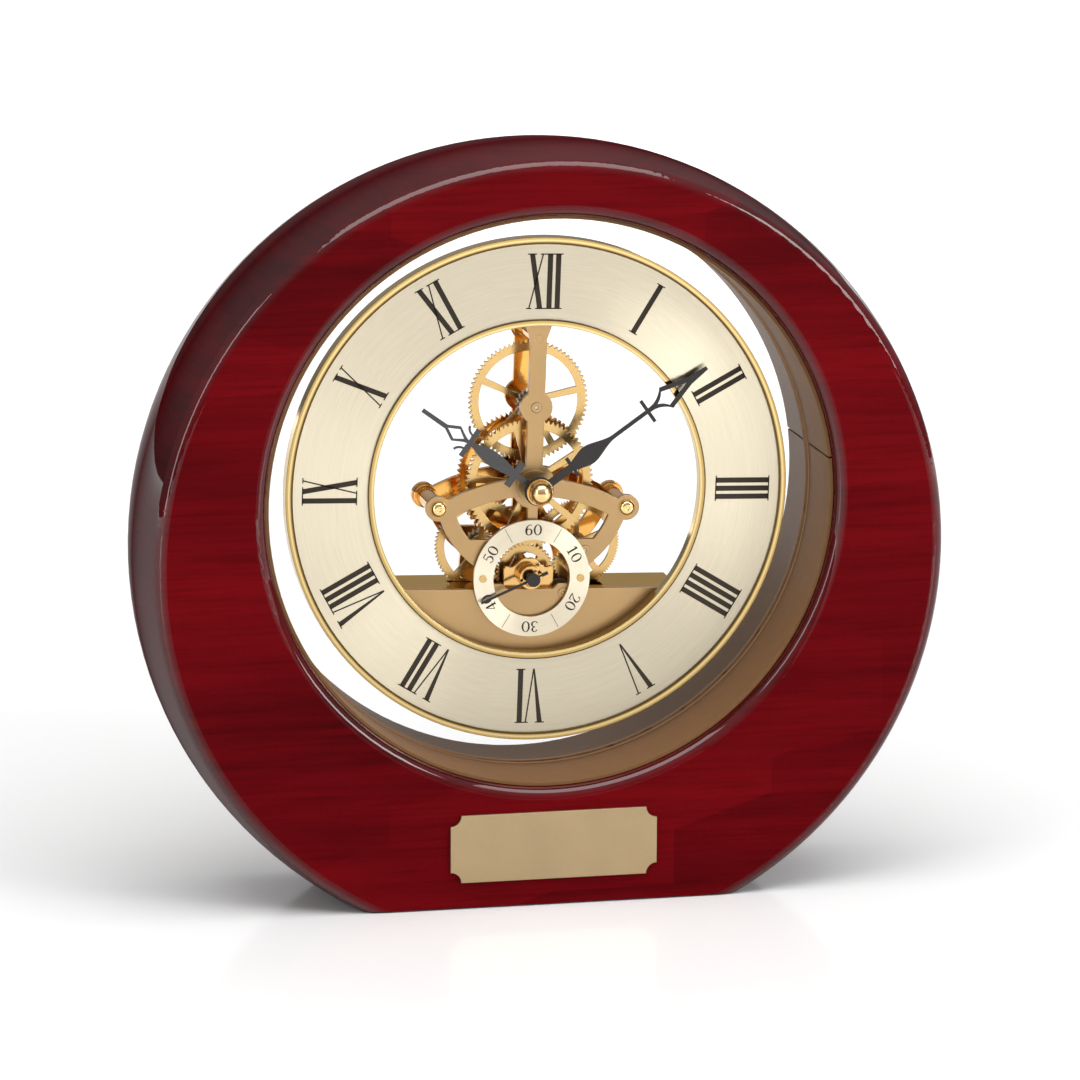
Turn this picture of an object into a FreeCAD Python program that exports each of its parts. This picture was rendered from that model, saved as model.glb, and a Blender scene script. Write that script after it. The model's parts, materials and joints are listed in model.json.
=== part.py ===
"""Round skeleton mantel clock: a lacquered wooden disc with a flat foot and a large offset bore,
a see-through dial carried on a clear disc, and an open quartz movement whose wheels drive the hands.

Millimetres. The foot rests on z = 0, +Z is up, the front faces -Y and y = 0 is the case's mid-depth.
Movement pieces are drawn about the dial axis, with x to the right and z up, and placed at the end.
"""
import FreeCAD, Part
import math
import os

from FreeCAD import Vector

os.makedirs("parts", exist_ok=True)

# Wooden case: its wall is measured from the bore, as if the two were concentric
case_wall = 30.8
case_depth = 44.0
case_crown = 2.6
front_round = 3.0
back_chamfer = 0.8
foot_trim = 14.4
bore_round = 3.0

# Felt strips under the foot
felt_width = 14.0
felt_length = 32.0
felt_thickness = 1.0
felt_stand = 0.4
felt_spacing = 72.0

# Bore, its two lining sleeves and the clear disc between them
bore_rise = 13.8
clear_band = 7.1
liner_thickness = 0.8
glass_clearance = 0.1
seam_width = 0.5
seam_bearing_deg = 7.0
glass_front = 1.2
glass_thickness = 3.0
glass_hole_margin = 2.6

# Name plate, left bare
plaque_width = 52.4
plaque_height = 17.1
plaque_thickness = 0.8
plaque_notch = 2.7

# Dial and its rims
dial_turn_deg = 1.84
dial_band = 20.7
bezel_width = 1.8
bezel_front = -2.7
dial_front = -2.2
dial_plate_lap = 3.4
dial_spigot_wall = 0.7
rim_wall = 1.55
rim_back = 0.4

# Clamp behind the clear disc
clamp_lap = 7.0
clamp_step = 0.6
clamp_thickness = 1.5
small_screw_radius = 0.8
small_screw_head = 1.5
small_screw_head_height = 0.8
clamp_screw_length = 6.0
clamp_screw_bearings_deg = (20.0, 160.0, 200.0, 340.0)

# Movement plates
plate_screw_length = 2.6
plate_screw_inset = 2.9
plate_screw_bearings_deg = (90.0, 230.0, 310.0)
plate_front = 2.0
plate_thickness = 1.5
rear_plate_front = 20.0
arm_width = 4.2
arm_flare_width = 7.0
arm_flare_run = 4.15
boss_radius = 4.1
hub_radius = 5.6
side_arm_crest = 2.1
side_arm_outer_radius = 46.6
side_arm_width = 4.6
fan_outer_radius = 24.85
fan_inner_radius = 20.8
pillar_offset = 24.05
pillar_drop = 5.5
pillar_boss_radius = 3.2
pillar_radius = 2.2
pillar_collar_radius = 2.9
pillar_collar_length = 2.2
pillar_screw_radius = 1.0
pillar_screw_depth = 5.0
pillar_screw_head_radius = 2.0
pillar_screw_head_height = 1.3
pillar_screw_rim_height = 0.35
pillar_screw_dome_shares = (0.80, 0.70)
pillar_screw_dimple_radius = 0.5
pillar_screw_dimple_depth = 0.35
top_pillar_inset = 4.05
top_pillar_radius = 1.7
stem_width = 2.5
band_outer_radius = 14.4
band_inner_radius = 9.9
seconds_headroom = 3.0
base_shoulder_height = 1.3
notch_half_width = 5.9
notch_slope = 1.2
leg_outer = 14.2
leg_inner = 10.4
leg_foot_drop = 3.2
leg_screw_length = 2.2

# Axes of the movement, about the dial axis
train_radius = 20.0
seconds_drop = 23.1
fast_offset = 13.7
fast_rise = 6.7
fast_boss_radius = 2.9
rotor_bearing_deg = 244.3

# Tooth counts
cannon_teeth = 25
motion_wheel_teeth = 75
motion_pinion_teeth = 20
hour_teeth = 80
centre_teeth = 80
third_pinion_teeth = 16
third_teeth = 72
seconds_pinion_teeth = 6
seconds_teeth = 40
idler_teeth = 20
fast_pinion_teeth = 12
fast_teeth = 90
rotor_pinion_teeth = 10

# Tooth form: depths as shares of the module, flats as shares of the pitch either side
third_radius = 11.6
seconds_module = 0.36
rotor_module = 0.24
addendum_share = 0.75
dedendum_share = 1.35
wheel_tip_share = 0.08
pinion_gap_share = 0.06

# Wheel bodies
wheel_thickness = 0.9
centre_wheel_thickness = 1.3
pinion_overhang = 0.35
rim_width = 1.75
spoke_hub_width = 1.2
spoke_rim_width = 1.9
spoke_count = 5
centre_spoke_deg = 12.0
hour_spoke_deg = 32.0
motion_spoke_deg = 12.5
third_spoke_deg = 16.0
seconds_spoke_deg = 40.0
fast_spoke_deg = 20.0
wheel_hub_radius = 2.6
small_hub_radius = 1.9
hour_hub_radius = 4.2
hour_wheel_front = 6.8
seconds_wheel_front = 8.5
middle_wheel_front = 11.6
centre_wheel_front = 14.3

# Arbors, bushes and pivots
arbor_radius = 0.8
fine_arbor_radius = 0.5
pivot_radius = 0.4
pivot_clearance = 0.04
bush_radius = 1.3
bush_head = 0.2
end_shake = 0.1

# Centre stack
cannon_radius = 1.25
hour_pipe_radius = 1.95
hub_bush_radius = 2.75
hub_bush_flange_radius = 4.4
hub_bush_flange_height = 0.7
running_clearance = 0.06

# Hands and cap nut
hand_thickness = 0.4
hour_hand_front = -3.0
minute_hand_front = -4.5
seconds_hand_front = -0.9
hour_hand_length = 36.2
minute_hand_length = 52.0
seconds_hand_length = 14.3
hour_hand_bearing_deg = -55.6
minute_hand_bearing_deg = 53.3
seconds_hand_bearing_deg = -114.6
hour_hub_disc_radius = 3.4
minute_hub_disc_radius = 3.7
seconds_cap_radius = 1.65
seconds_cap_height = 1.2
nut_collar_radius = 3.25
nut_collar_height = 1.0
nut_ball_radius = 3.1
nut_ball_stand = 1.0
nut_thread_depth = 3.0

# Seconds dial and its bridge
seconds_dial_outer = 14.83
seconds_dial_inner = 9.8
seconds_dial_front = 0.6
seconds_dial_thickness = 0.8
rivet_offset = 12.5
rivet_radius = 0.6
rivet_head_radius = 0.95
rivet_head_height = 0.25
rivet_collar_radius = 1.2
bridge_front = 4.4
bridge_thickness = 1.2
bridge_half_width = 6.3
bridge_top_shares = ((0.67, 0), (0.56, 0.38), (0.38, 0.57), (0.32, 0.73), (0.365, 0.89), (0.22, 1.0))
bridge_tube_radius = 2.95
bridge_tube_front = 1.0
bridge_tube_recess_radius = 2.2
bridge_tube_recess_depth = 1.2

# Idler stud
stud_radius = 0.6
stud_head_radius = 1.1
stud_head_height = 0.4
idler_hub_radius = 1.2

# Base housing, motor and size N cell
housing_overhang = 0.2
housing_wall = 1.2
slot_clearance = 0.7
rotor_boss_width = 2.2
rotor_boss_length = 1.0
well_left = 5.0
well_right = 19.6
well_front = 5.9
cell_radius = 6.0
cell_length = 30.2
cell_headroom = 3.0
cell_depth = 13.3
cell_clearance = 0.1
cell_button_radius = 2.0
cell_button_length = 0.8
bay_wall = 1.4
bay_floor = 0.2
door_margin = 0.6
door_ledge = 0.6
door_clearance = 0.15
door_grip_width = 10.0
door_grip_height = 3.0
door_grip_depth = 0.4
contact_thickness = 0.3
contact_width = 7.0
contact_height = 8.0
board_thickness = 0.8
board_width = 11.5
board_height = 6.1
board_left = -26.0
board_headroom = 1.1
rotor_radius = 1.4
rotor_front = 5.6
rotor_length = 2.4
stator_front = 6.4
stator_thickness = 0.8
stator_clearance = 0.3
stator_wall = 1.0
core_width = 1.8
coil_radius = 1.5
coil_length = 11.0
coil_left = -9.5
coil_headroom = 2.7

# Setting knob at the back
knob_radius = 5.0
knob_length = 2.6
knob_gap = 0.4
knob_flute_radius = 0.9
knob_flutes = 10

# One overrun for every cut that must pass right through
over = 1.0


# Radii, from the cell outward: housing, plates, dial, clear disc, bore and case
base_top = -seconds_drop - seconds_headroom
base_shoulder_top = base_top + base_shoulder_height
ceiling_drop = housing_wall - base_top
cell_drop = ceiling_drop + cell_headroom + cell_clearance + cell_radius
coil_drop = ceiling_drop + coil_headroom
board_top = -ceiling_drop - board_headroom
bay_reach = math.hypot(cell_length / 2 + contact_thickness, cell_drop + cell_radius + cell_clearance)
housing_radius = bay_reach + bay_floor + housing_wall
plate_reach = housing_radius - housing_overhang
plate_screw_reach = plate_reach - plate_screw_inset
clamp_inner_radius = plate_reach + clamp_step
glass_hole_radius = plate_reach + glass_hole_margin
clamp_outer_radius = glass_hole_radius + clamp_lap
dial_inner_radius = plate_reach - dial_plate_lap
rim_radius = dial_inner_radius - rim_wall
bezel_radius = dial_inner_radius + dial_band
bore_radius = bezel_radius + clear_band
case_radius = bore_radius + case_wall
arm_flare_start = rim_radius - arm_flare_run
top_pillar_height = rim_radius - top_pillar_inset
side_arm_inner_radius = side_arm_outer_radius - side_arm_width
side_arm_centre_drop = side_arm_outer_radius - side_arm_crest

# Other derived places
foot_drop = case_radius - foot_trim
plaque_drop = (foot_drop + bore_radius - bore_rise) / 2
case_centre = foot_drop + felt_stand
dial_height = case_centre + bore_rise
case_front = -case_depth / 2
case_back = case_depth / 2
plate_back = plate_front + plate_thickness
rear_plate_back = rear_plate_front + plate_thickness
glass_back = glass_front + glass_thickness
housing_front = plate_back
housing_back = rear_plate_front
hour_module = 2 * train_radius / (hour_teeth + motion_pinion_teeth)
cannon_module = 2 * train_radius / (motion_wheel_teeth + cannon_teeth)
centre_module = 2 * train_radius / (centre_teeth + third_pinion_teeth)
third_module = 2 * third_radius / third_teeth


def pitch_radius(teeth, module):
    return teeth * module / 2


def meeting_point(first, first_reach, second, second_reach):
    """The point at the two given distances from two axes, right of the way from first to second."""
    along = second - first
    span = along.Length
    unit = along / span
    across = Vector(unit.z, 0, -unit.x)
    run = (first_reach**2 - second_reach**2 + span**2) / (2 * span)
    rise = math.sqrt(first_reach**2 - run**2)
    return first + unit * run + across * rise


centre_axis = Vector(0, 0, 0)
motion_axis = Vector(0, 0, train_radius)
seconds_axis = Vector(0, 0, -seconds_drop)
third_axis = meeting_point(
    centre_axis,
    train_radius,
    seconds_axis,
    third_radius + pitch_radius(seconds_pinion_teeth, third_module),
)
fast_axis = seconds_axis + Vector(fast_offset, 0, fast_rise)
idler_axis = meeting_point(
    seconds_axis,
    pitch_radius(seconds_teeth + idler_teeth, seconds_module),
    fast_axis,
    pitch_radius(idler_teeth + fast_pinion_teeth, seconds_module),
)
rotor_reach = pitch_radius(fast_teeth + rotor_pinion_teeth, rotor_module)
rotor_bearing = math.radians(rotor_bearing_deg)
rotor_axis = fast_axis + Vector(math.cos(rotor_bearing), 0, math.sin(rotor_bearing)) * rotor_reach


# Shape helpers
def at(axis, y):
    return Vector(axis.x, y, axis.z)


def rod(axis, radius, front, back):
    return Part.makeCylinder(radius, back - front, at(axis, front), Vector(0, 1, 0))


def tube(axis, outer, inner, front, back):
    return rod(axis, outer, front, back).cut(rod(axis, inner, front - over, back + over))


def block(left, right, front, back, bottom, top):
    size = Vector(right - left, back - front, top - bottom)
    return Part.makeBox(size.x, size.y, size.z, Vector(left, front, bottom))


def turned(axis, profile):
    """A solid of revolution about a Y axis, from (radius, y) points."""
    points = [Vector(axis.x + radius, y, axis.z) for radius, y in profile]
    face = Part.Face(Part.makePolygon(points + points[:1]))
    return face.revolve(at(axis, 0), Vector(0, 1, 0), 360)


def outline(points):
    corners = [Vector(x, 0, z) for x, z in points]
    return Part.makePolygon(corners + corners[:1])


def sheet(wire, front, thickness, holes=()):
    """A flat plate from an outline drawn on y = 0."""
    face = Part.Face(wire)
    for hole in holes:
        face = face.cut(Part.Face(hole))
    plate = face.extrude(Vector(0, thickness, 0))
    plate.translate(Vector(0, front, 0))
    return plate


def segment(radius, low, high, front, back):
    """What lies within a radius of the dial axis and between two heights."""
    return rod(centre_axis, radius, front, back).common(
        block(-radius, radius, front, back, low, high)
    )


def lengths(shares, length):
    return [Vector(across * length, 0, along * length) for along, across in shares]


def mirror(point):
    return Vector(-point.x, point.y, point.z)


def curve(points):
    line = Part.BSplineCurve()
    line.interpolate(points)
    return line.toShape()


def mirrored_wire(curved, straight):
    """A closed outline, symmetrical about +Z: a smooth stretch and then corners, up the right side."""
    run = curved[-1:] + straight
    edges = [curve(curved)]
    edges += [Part.makeLine(low, high) for low, high in zip(run, run[1:])]
    edges += [curve([mirror(point) for point in curved])]
    edges += [Part.makeLine(mirror(low), mirror(high)) for low, high in zip(run, run[1:])]
    for right in (curved[0], run[-1]):
        if right.x:
            edges.append(Part.makeLine(right, mirror(right)))
    return Part.Wire(Part.__sortEdges__(edges))


def drilled(plate, places, radius):
    """The plate with a hole at each place, right through."""
    box = plate.BoundBox
    for place in places:
        plate = plate.cut(rod(place, radius, box.YMin - over, box.YMax + over))
    return plate


def joined(shapes):
    return shapes[0].multiFuse(shapes[1:]).removeSplitter()


# Toothed wheels
def tooth_wire(axis, teeth, module, phase, tip_share, gap_share):
    """A closed outline of straight-flanked teeth with a tooth centred on the phase angle."""
    tip = pitch_radius(teeth, module) + addendum_share * module
    root = pitch_radius(teeth, module) - dedendum_share * module
    pitch = 2 * math.pi / teeth
    corners = []
    for index in range(teeth):
        tooth = phase + index * pitch
        for middle, radius, share in ((tooth, tip, tip_share), (tooth + pitch / 2, root, gap_share)):
            spread = share * pitch
            bearings = (middle - spread, middle + spread) if share else (middle,)
            corners += [
                (axis.x + radius * math.cos(bearing), axis.z + radius * math.sin(bearing))
                for bearing in bearings
            ]
    return outline(corners)


def meshed_phase(axis, teeth, phase, mate_axis, mate_teeth):
    """The phase that puts the mate's gap where this gear's tooth meets the line of centres."""
    line = math.atan2(mate_axis.z - axis.z, mate_axis.x - axis.x)
    offset = (line - phase) % (2 * math.pi / teeth)
    return line + math.pi + offset * teeth / mate_teeth + math.pi / mate_teeth


def spoked_wheel(axis, teeth, module, phase, front, thickness, hub, bore, first_spoke_deg):
    root = pitch_radius(teeth, module) - dedendum_share * module
    back = front + thickness
    wheel = sheet(tooth_wire(axis, teeth, module, phase, wheel_tip_share, 0), front, thickness)
    window = tube(axis, root - rim_width, hub, front - over, back + over)
    near = spoke_hub_width / 2
    far = spoke_rim_width / 2
    spoke_wire = outline([(0, -near), (root, -far), (root, far), (0, near)])
    for index in range(spoke_count):
        spoke = sheet(spoke_wire, front - 2 * over, thickness + 4 * over)
        spoke.rotate(centre_axis, Vector(0, -1, 0), first_spoke_deg + index * 360 / spoke_count)
        spoke.translate(axis)
        window = window.cut(spoke)
    return drilled(wheel.cut(window), [axis], bore)


def pinion(axis, teeth, module, phase, front, back):
    return sheet(tooth_wire(axis, teeth, module, phase, 0, pinion_gap_share), front, back - front)


# Tooth phases, from the third wheel outward, so that every pair is in mesh at rest
third_phase = 0.0
seconds_phase = meshed_phase(third_axis, third_teeth, third_phase, seconds_axis, seconds_pinion_teeth)
centre_phase = meshed_phase(third_axis, third_pinion_teeth, third_phase, centre_axis, centre_teeth)
motion_phase = meshed_phase(centre_axis, cannon_teeth, 0.0, motion_axis, motion_wheel_teeth)
hour_phase = meshed_phase(motion_axis, motion_pinion_teeth, 0.0, centre_axis, hour_teeth)
seconds_wheel_phase = 0.0
idler_phase = meshed_phase(seconds_axis, seconds_teeth, seconds_wheel_phase, idler_axis, idler_teeth)
fast_pinion_phase = meshed_phase(idler_axis, idler_teeth, idler_phase, fast_axis, fast_pinion_teeth)
rotor_phase = meshed_phase(fast_axis, fast_teeth, 0.0, rotor_axis, rotor_pinion_teeth)


# Case pieces, drawn in their final place
def case_body():
    centre = Vector(0, 0, case_centre)
    edge = case_radius - case_crown
    profile = [
        Part.LineSegment(Vector(0, case_front, 0), Vector(edge, case_front, 0)).toShape(),
        Part.Arc(
            Vector(edge, case_front, 0), Vector(case_radius, 0, 0), Vector(edge, case_back, 0)
        ).toShape(),
        Part.LineSegment(Vector(edge, case_back, 0), Vector(0, case_back, 0)).toShape(),
        Part.LineSegment(Vector(0, case_back, 0), Vector(0, case_front, 0)).toShape(),
    ]
    half = Part.Face(Part.Wire(profile))
    body = half.revolve(Vector(0, 0, 0), Vector(0, 1, 0), 360)
    body.translate(centre)
    front_rims = [e for e in body.Edges if abs(e.BoundBox.YMax - case_front) < over / 2 and e.Length > edge]
    body = body.makeFillet(front_round, front_rims)
    back_rims = [e for e in body.Edges if abs(e.BoundBox.YMin - case_back) < over / 2 and e.Length > edge]
    body = body.makeChamfer(back_chamfer, back_rims)
    wide = case_radius + over
    body = body.cut(block(-wide, wide, -case_depth, case_depth, case_centre - wide, felt_stand))
    bore_axis = Vector(0, 0, dial_height)
    seat = bore_radius + liner_thickness
    body = body.cut(rod(bore_axis, seat, case_front - over, case_back + over))
    bore_rims = [
        e for e in body.Edges
        if abs(e.BoundBox.YMax - case_front) < over / 2 and abs(e.BoundBox.XLength - 2 * seat) < over / 2
    ]
    body = body.makeFillet(bore_round, bore_rims)
    for strip in felt_places():
        body = body.cut(strip)
    return body


def felt_places():
    half = felt_spacing / 2
    return [
        block(x - felt_width / 2, x + felt_width / 2, -felt_length / 2, felt_length / 2, 0, felt_thickness)
        for x in (-half, half)
    ]


def liner_sleeve(front, back):
    axis = Vector(0, 0, dial_height)
    outer = bore_radius + liner_thickness
    sleeve = tube(axis, outer, bore_radius, front, back)
    seam = block(
        bore_radius - over, outer + over, front - over, back + over, -seam_width / 2, seam_width / 2
    )
    seam.rotate(centre_axis, Vector(0, -1, 0), seam_bearing_deg)
    seam.translate(axis)
    return sleeve.cut(seam)


def clear_disc():
    outer = bore_radius + liner_thickness - glass_clearance
    return tube(Vector(0, 0, dial_height), outer, glass_hole_radius, glass_front, glass_back)


def name_plaque():
    half_width = plaque_width / 2
    half_height = plaque_height / 2
    front = case_front - plaque_thickness
    centre_z = case_centre - plaque_drop
    body = block(-half_width, half_width, front, case_front, centre_z - half_height, centre_z + half_height)
    for x in (-half_width, half_width):
        for z in (-half_height, half_height):
            corner = Vector(x, 0, centre_z + z)
            body = body.cut(rod(corner, plaque_notch, front - over, case_front + over))
    return body


# Dial pieces
def dial_bezel():
    return tube(centre_axis, bezel_radius, bezel_radius - bezel_width, bezel_front, glass_front)


def dial_ring():
    spigot = plate_reach + dial_spigot_wall
    ledge = rim_radius + dial_spigot_wall
    ring = turned(
        centre_axis,
        [
            (dial_inner_radius, dial_front),
            (bezel_radius - bezel_width, dial_front),
            (bezel_radius - bezel_width, glass_front),
            (spigot, glass_front),
            (spigot, plate_front),
            (ledge, plate_front),
            (ledge, rim_back),
            (dial_inner_radius, rim_back),
        ],
    )
    for screw in clamp_screws() + plate_screws():
        ring = ring.cut(screw)
    return ring


def inner_rim():
    return tube(centre_axis, dial_inner_radius, rim_radius, bezel_front, rim_back)


def ring_places(reach, bearings_deg):
    return [
        Vector(reach * math.cos(math.radians(deg)), 0, reach * math.sin(math.radians(deg)))
        for deg in bearings_deg
    ]


def clamp_screw_places():
    return ring_places((clamp_inner_radius + glass_hole_radius) / 2, clamp_screw_bearings_deg)


def plate_screw_places():
    return ring_places(plate_screw_reach, plate_screw_bearings_deg)


def small_screws(places, seat, length):
    """Cheese-headed screws driven from behind, with their heads on the seat."""
    return [
        joined(
            [
                rod(place, small_screw_radius, seat - length, seat),
                rod(place, small_screw_head, seat, seat + small_screw_head_height),
            ]
        )
        for place in places
    ]


def clamp_ring():
    back = glass_back + clamp_thickness
    ring = tube(centre_axis, clamp_outer_radius, clamp_inner_radius, glass_back, back)
    return drilled(ring, clamp_screw_places(), small_screw_radius)


def clamp_screws():
    return small_screws(clamp_screw_places(), glass_back + clamp_thickness, clamp_screw_length)


def plate_screws():
    return small_screws(plate_screw_places(), plate_back, plate_screw_length)


# Movement plates
def pillar_axes():
    return [Vector(side * pillar_offset, 0, -pillar_drop) for side in (-1, 1)]


def top_pillar_axis():
    return Vector(0, 0, top_pillar_height)


def fan_frame(front, back, stem_foot):
    """The fan-shaped frame that both plates share, as pieces to be joined."""
    side_centre = Vector(0, 0, -side_arm_centre_drop)
    half_arm = arm_width / 2
    flare = arm_flare_width / 2
    arm = outline(
        [
            (half_arm, 0),
            (half_arm, arm_flare_start),
            (flare, rim_radius),
            (flare, plate_reach - over),
            (-flare, plate_reach - over),
            (-flare, rim_radius),
            (-half_arm, arm_flare_start),
            (-half_arm, 0),
        ]
    )
    arch = tube(side_centre, side_arm_outer_radius, side_arm_inner_radius, front, back)
    arch_low = -pillar_drop - pillar_boss_radius
    arch = arch.common(block(-pillar_offset, pillar_offset, front, back, arch_low, hub_radius))
    fan = rod(centre_axis, fan_outer_radius, front, back)
    fan = fan.common(rod(side_centre, side_arm_outer_radius, front, back))
    sides = fan.common(tube(centre_axis, fan_outer_radius, fan_inner_radius, front, back))
    sides = sides.cut(block(-leg_inner, leg_inner, front, back, -fan_outer_radius, 0))
    shoulder_top = fast_axis.z + fast_boss_radius
    shoulders = fan.common(
        block(-fan_outer_radius, fan_outer_radius, front, back, -fan_outer_radius, shoulder_top)
    )
    shoulders = shoulders.cut(rod(seconds_axis, band_inner_radius, front, back))
    pieces = [
        sheet(arm, front, back - front),
        rod(centre_axis, hub_radius, front, back),
        rod(motion_axis, boss_radius, front, back),
        arch,
        sides,
        shoulders,
        tube(seconds_axis, band_outer_radius, band_inner_radius, front, back),
        block(-stem_width / 2, stem_width / 2, front, back, stem_foot, 0),
    ]
    pieces += [rod(axis, pillar_boss_radius, front, back) for axis in pillar_axes()]
    return pieces


def base_shoulder(front, back):
    """The raised middle of the base's top edge, with a shallow notch below the seconds hub."""
    foot = notch_half_width
    lip = notch_half_width + notch_slope
    notch = outline(
        [(foot, base_top), (lip, base_shoulder_top), (-lip, base_shoulder_top), (-foot, base_top)]
    )
    raised = block(-leg_inner, leg_inner, front, back, base_top, base_shoulder_top)
    return raised.cut(sheet(notch, front, back - front))


def front_bush_axes():
    return [motion_axis, third_axis, fast_axis, rotor_axis]


def front_plate():
    front = plate_front
    back = plate_back
    frame = joined(fan_frame(front, back, seconds_axis.z + band_inner_radius))
    frame = frame.cut(block(-plate_reach, plate_reach, front, back, -plate_reach, base_top))
    base = segment(plate_reach, -plate_reach, base_top, front, back)
    plate = joined([frame, base, base_shoulder(front, back)])
    plate = drilled(plate, [centre_axis], hub_bush_radius)
    plate = drilled(plate, front_bush_axes(), bush_radius)
    plate = drilled(plate, pillar_axes() + [top_pillar_axis()], pillar_screw_radius)
    plate = drilled(plate, [idler_axis], stud_radius)
    plate = drilled(plate, rivet_axes(), rivet_radius)
    return drilled(plate, plate_screw_places(), small_screw_radius)


def rear_bush_axes():
    return [motion_axis, third_axis, fast_axis, seconds_axis]


def rear_plate():
    front = rear_plate_front
    back = rear_plate_back
    frame = joined(fan_frame(front, back, seconds_axis.z))
    frame = frame.cut(block(-plate_reach, plate_reach, front, back, -plate_reach, base_top))
    arm_top = top_pillar_height
    frame = frame.cut(block(-plate_reach, plate_reach, front, back, arm_top, plate_reach))
    pieces = [
        frame,
        rod(seconds_axis, bridge_tube_radius, front, back),
        rod(top_pillar_axis(), pillar_boss_radius, front, back),
    ]
    for side in (-1, 1):
        near, far = sorted((side * leg_inner, side * leg_outer))
        pieces.append(block(near, far, front, back, base_top - leg_foot_drop, seconds_axis.z))
    plate = joined(pieces)
    plate = drilled(plate, [centre_axis] + rear_bush_axes(), bush_radius)
    plate = drilled(plate, pillar_axes() + [top_pillar_axis()], pillar_screw_radius)
    return drilled(plate, leg_screw_places(), small_screw_radius)


def leg_screw_places():
    across = (leg_inner + leg_outer) / 2
    return [Vector(side * across, 0, base_top - leg_foot_drop / 2) for side in (-1, 1)]


def leg_screws():
    return small_screws(leg_screw_places(), rear_plate_back, leg_screw_length)


def front_bushes():
    bore = pivot_radius + pivot_clearance
    return [
        tube(axis, bush_radius, bore, plate_front - bush_head, plate_back)
        for axis in front_bush_axes()
    ]


def rear_bushes():
    back = rear_plate_back + bush_head
    bore = pivot_radius + pivot_clearance
    made = [tube(axis, bush_radius, bore, rear_plate_front, back) for axis in rear_bush_axes()]
    arbor_bore = arbor_radius + pivot_clearance
    return made + [tube(centre_axis, bush_radius, arbor_bore, rear_plate_front, back)]


def hub_bush():
    flange_front = plate_front - hub_bush_flange_height
    inner = hour_pipe_radius + running_clearance
    return turned(
        centre_axis,
        [
            (inner, flange_front),
            (hub_bush_flange_radius, flange_front),
            (hub_bush_flange_radius, plate_front),
            (hub_bush_radius, plate_front),
            (hub_bush_radius, plate_back),
            (inner, plate_back),
        ],
    )


def pillar_body(axis, radius):
    """A pillar with a collar at its rear end and a hole for the rear screw."""
    body = turned(
        axis,
        [
            (0, plate_back),
            (radius, plate_back),
            (radius, rear_plate_front - pillar_collar_length),
            (pillar_collar_radius, rear_plate_front - pillar_collar_length),
            (pillar_collar_radius, rear_plate_front),
            (0, rear_plate_front),
        ],
    )
    depth = pillar_screw_depth - plate_thickness
    return body.cut(rod(axis, pillar_screw_radius, rear_plate_front - depth, rear_plate_front + over))


def side_pillar(axis):
    depth = pillar_screw_depth - plate_thickness
    hole = rod(axis, pillar_screw_radius, plate_back - over, plate_back + depth)
    return pillar_body(axis, pillar_radius).cut(hole)


def top_pillar():
    """The upper pillar, riveted flush into the front plate."""
    axis = top_pillar_axis()
    rivet = rod(axis, pillar_screw_radius, plate_front, plate_back)
    return joined([pillar_body(axis, top_pillar_radius), rivet])


def pillar_screw(axis, seat, side):
    """A domed, dimpled head on the seat and a shank below it; side is -1 at the front, 1 at the back."""
    def point(radius, stand):
        return Vector(axis.x + radius, seat + side * stand, axis.z)

    across, up = pillar_screw_dome_shares
    dome_height = pillar_screw_head_height - pillar_screw_rim_height
    floor = pillar_screw_head_height - pillar_screw_dimple_depth
    rim = point(pillar_screw_head_radius, pillar_screw_rim_height)
    bend = point(pillar_screw_head_radius * across, pillar_screw_rim_height + dome_height * up)
    crown = point(pillar_screw_dimple_radius, pillar_screw_head_height)
    below = [
        point(0, floor),
        point(0, -pillar_screw_depth),
        point(pillar_screw_radius, -pillar_screw_depth),
        point(pillar_screw_radius, 0),
        point(pillar_screw_head_radius, 0),
        rim,
    ]
    dimple = [crown, point(pillar_screw_dimple_radius, floor), point(0, floor)]
    dome = Part.Arc(rim, bend, crown).toShape()
    wire = Part.Wire(Part.makePolygon(below).Edges + [dome] + Part.makePolygon(dimple).Edges)
    return Part.Face(wire).revolve(at(axis, 0), Vector(0, 1, 0), 360)


# Seconds dial, its rivets and the bridge
def rivet_axes():
    return [seconds_axis + Vector(side * rivet_offset, 0, 0) for side in (-1, 1)]


def seconds_dial():
    back = seconds_dial_front + seconds_dial_thickness
    dial = tube(seconds_axis, seconds_dial_outer, seconds_dial_inner, seconds_dial_front, back)
    return drilled(dial, rivet_axes(), rivet_radius)


def seconds_dial_rivets():
    back = seconds_dial_front + seconds_dial_thickness
    return [
        turned(
            place,
            [
                (0, seconds_dial_front - rivet_head_height),
                (rivet_head_radius, seconds_dial_front - rivet_head_height),
                (rivet_head_radius, seconds_dial_front),
                (rivet_radius, seconds_dial_front),
                (rivet_radius, back),
                (rivet_collar_radius, back),
                (rivet_collar_radius, plate_front),
                (rivet_radius, plate_front),
                (rivet_radius, plate_back),
                (0, plate_back),
            ],
        )
        for place in rivet_axes()
    ]


def seconds_bridge():
    """A cock with shouldered sides that carries the tube round the seconds arbor."""
    foot = Vector(bridge_half_width, 0, base_top - seconds_axis.z)
    wire = mirrored_wire(lengths(bridge_top_shares, bridge_half_width), [foot])
    body = sheet(wire, bridge_front, bridge_thickness)
    body.translate(seconds_axis)
    back = bridge_front + bridge_thickness
    body = joined([body, rod(seconds_axis, bridge_tube_radius, bridge_tube_front, back)])
    recess_back = bridge_tube_front + bridge_tube_recess_depth
    body = body.cut(rod(seconds_axis, bridge_tube_recess_radius, bridge_tube_front - over, recess_back))
    return drilled(body, [seconds_axis], fine_arbor_radius + running_clearance)


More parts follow.
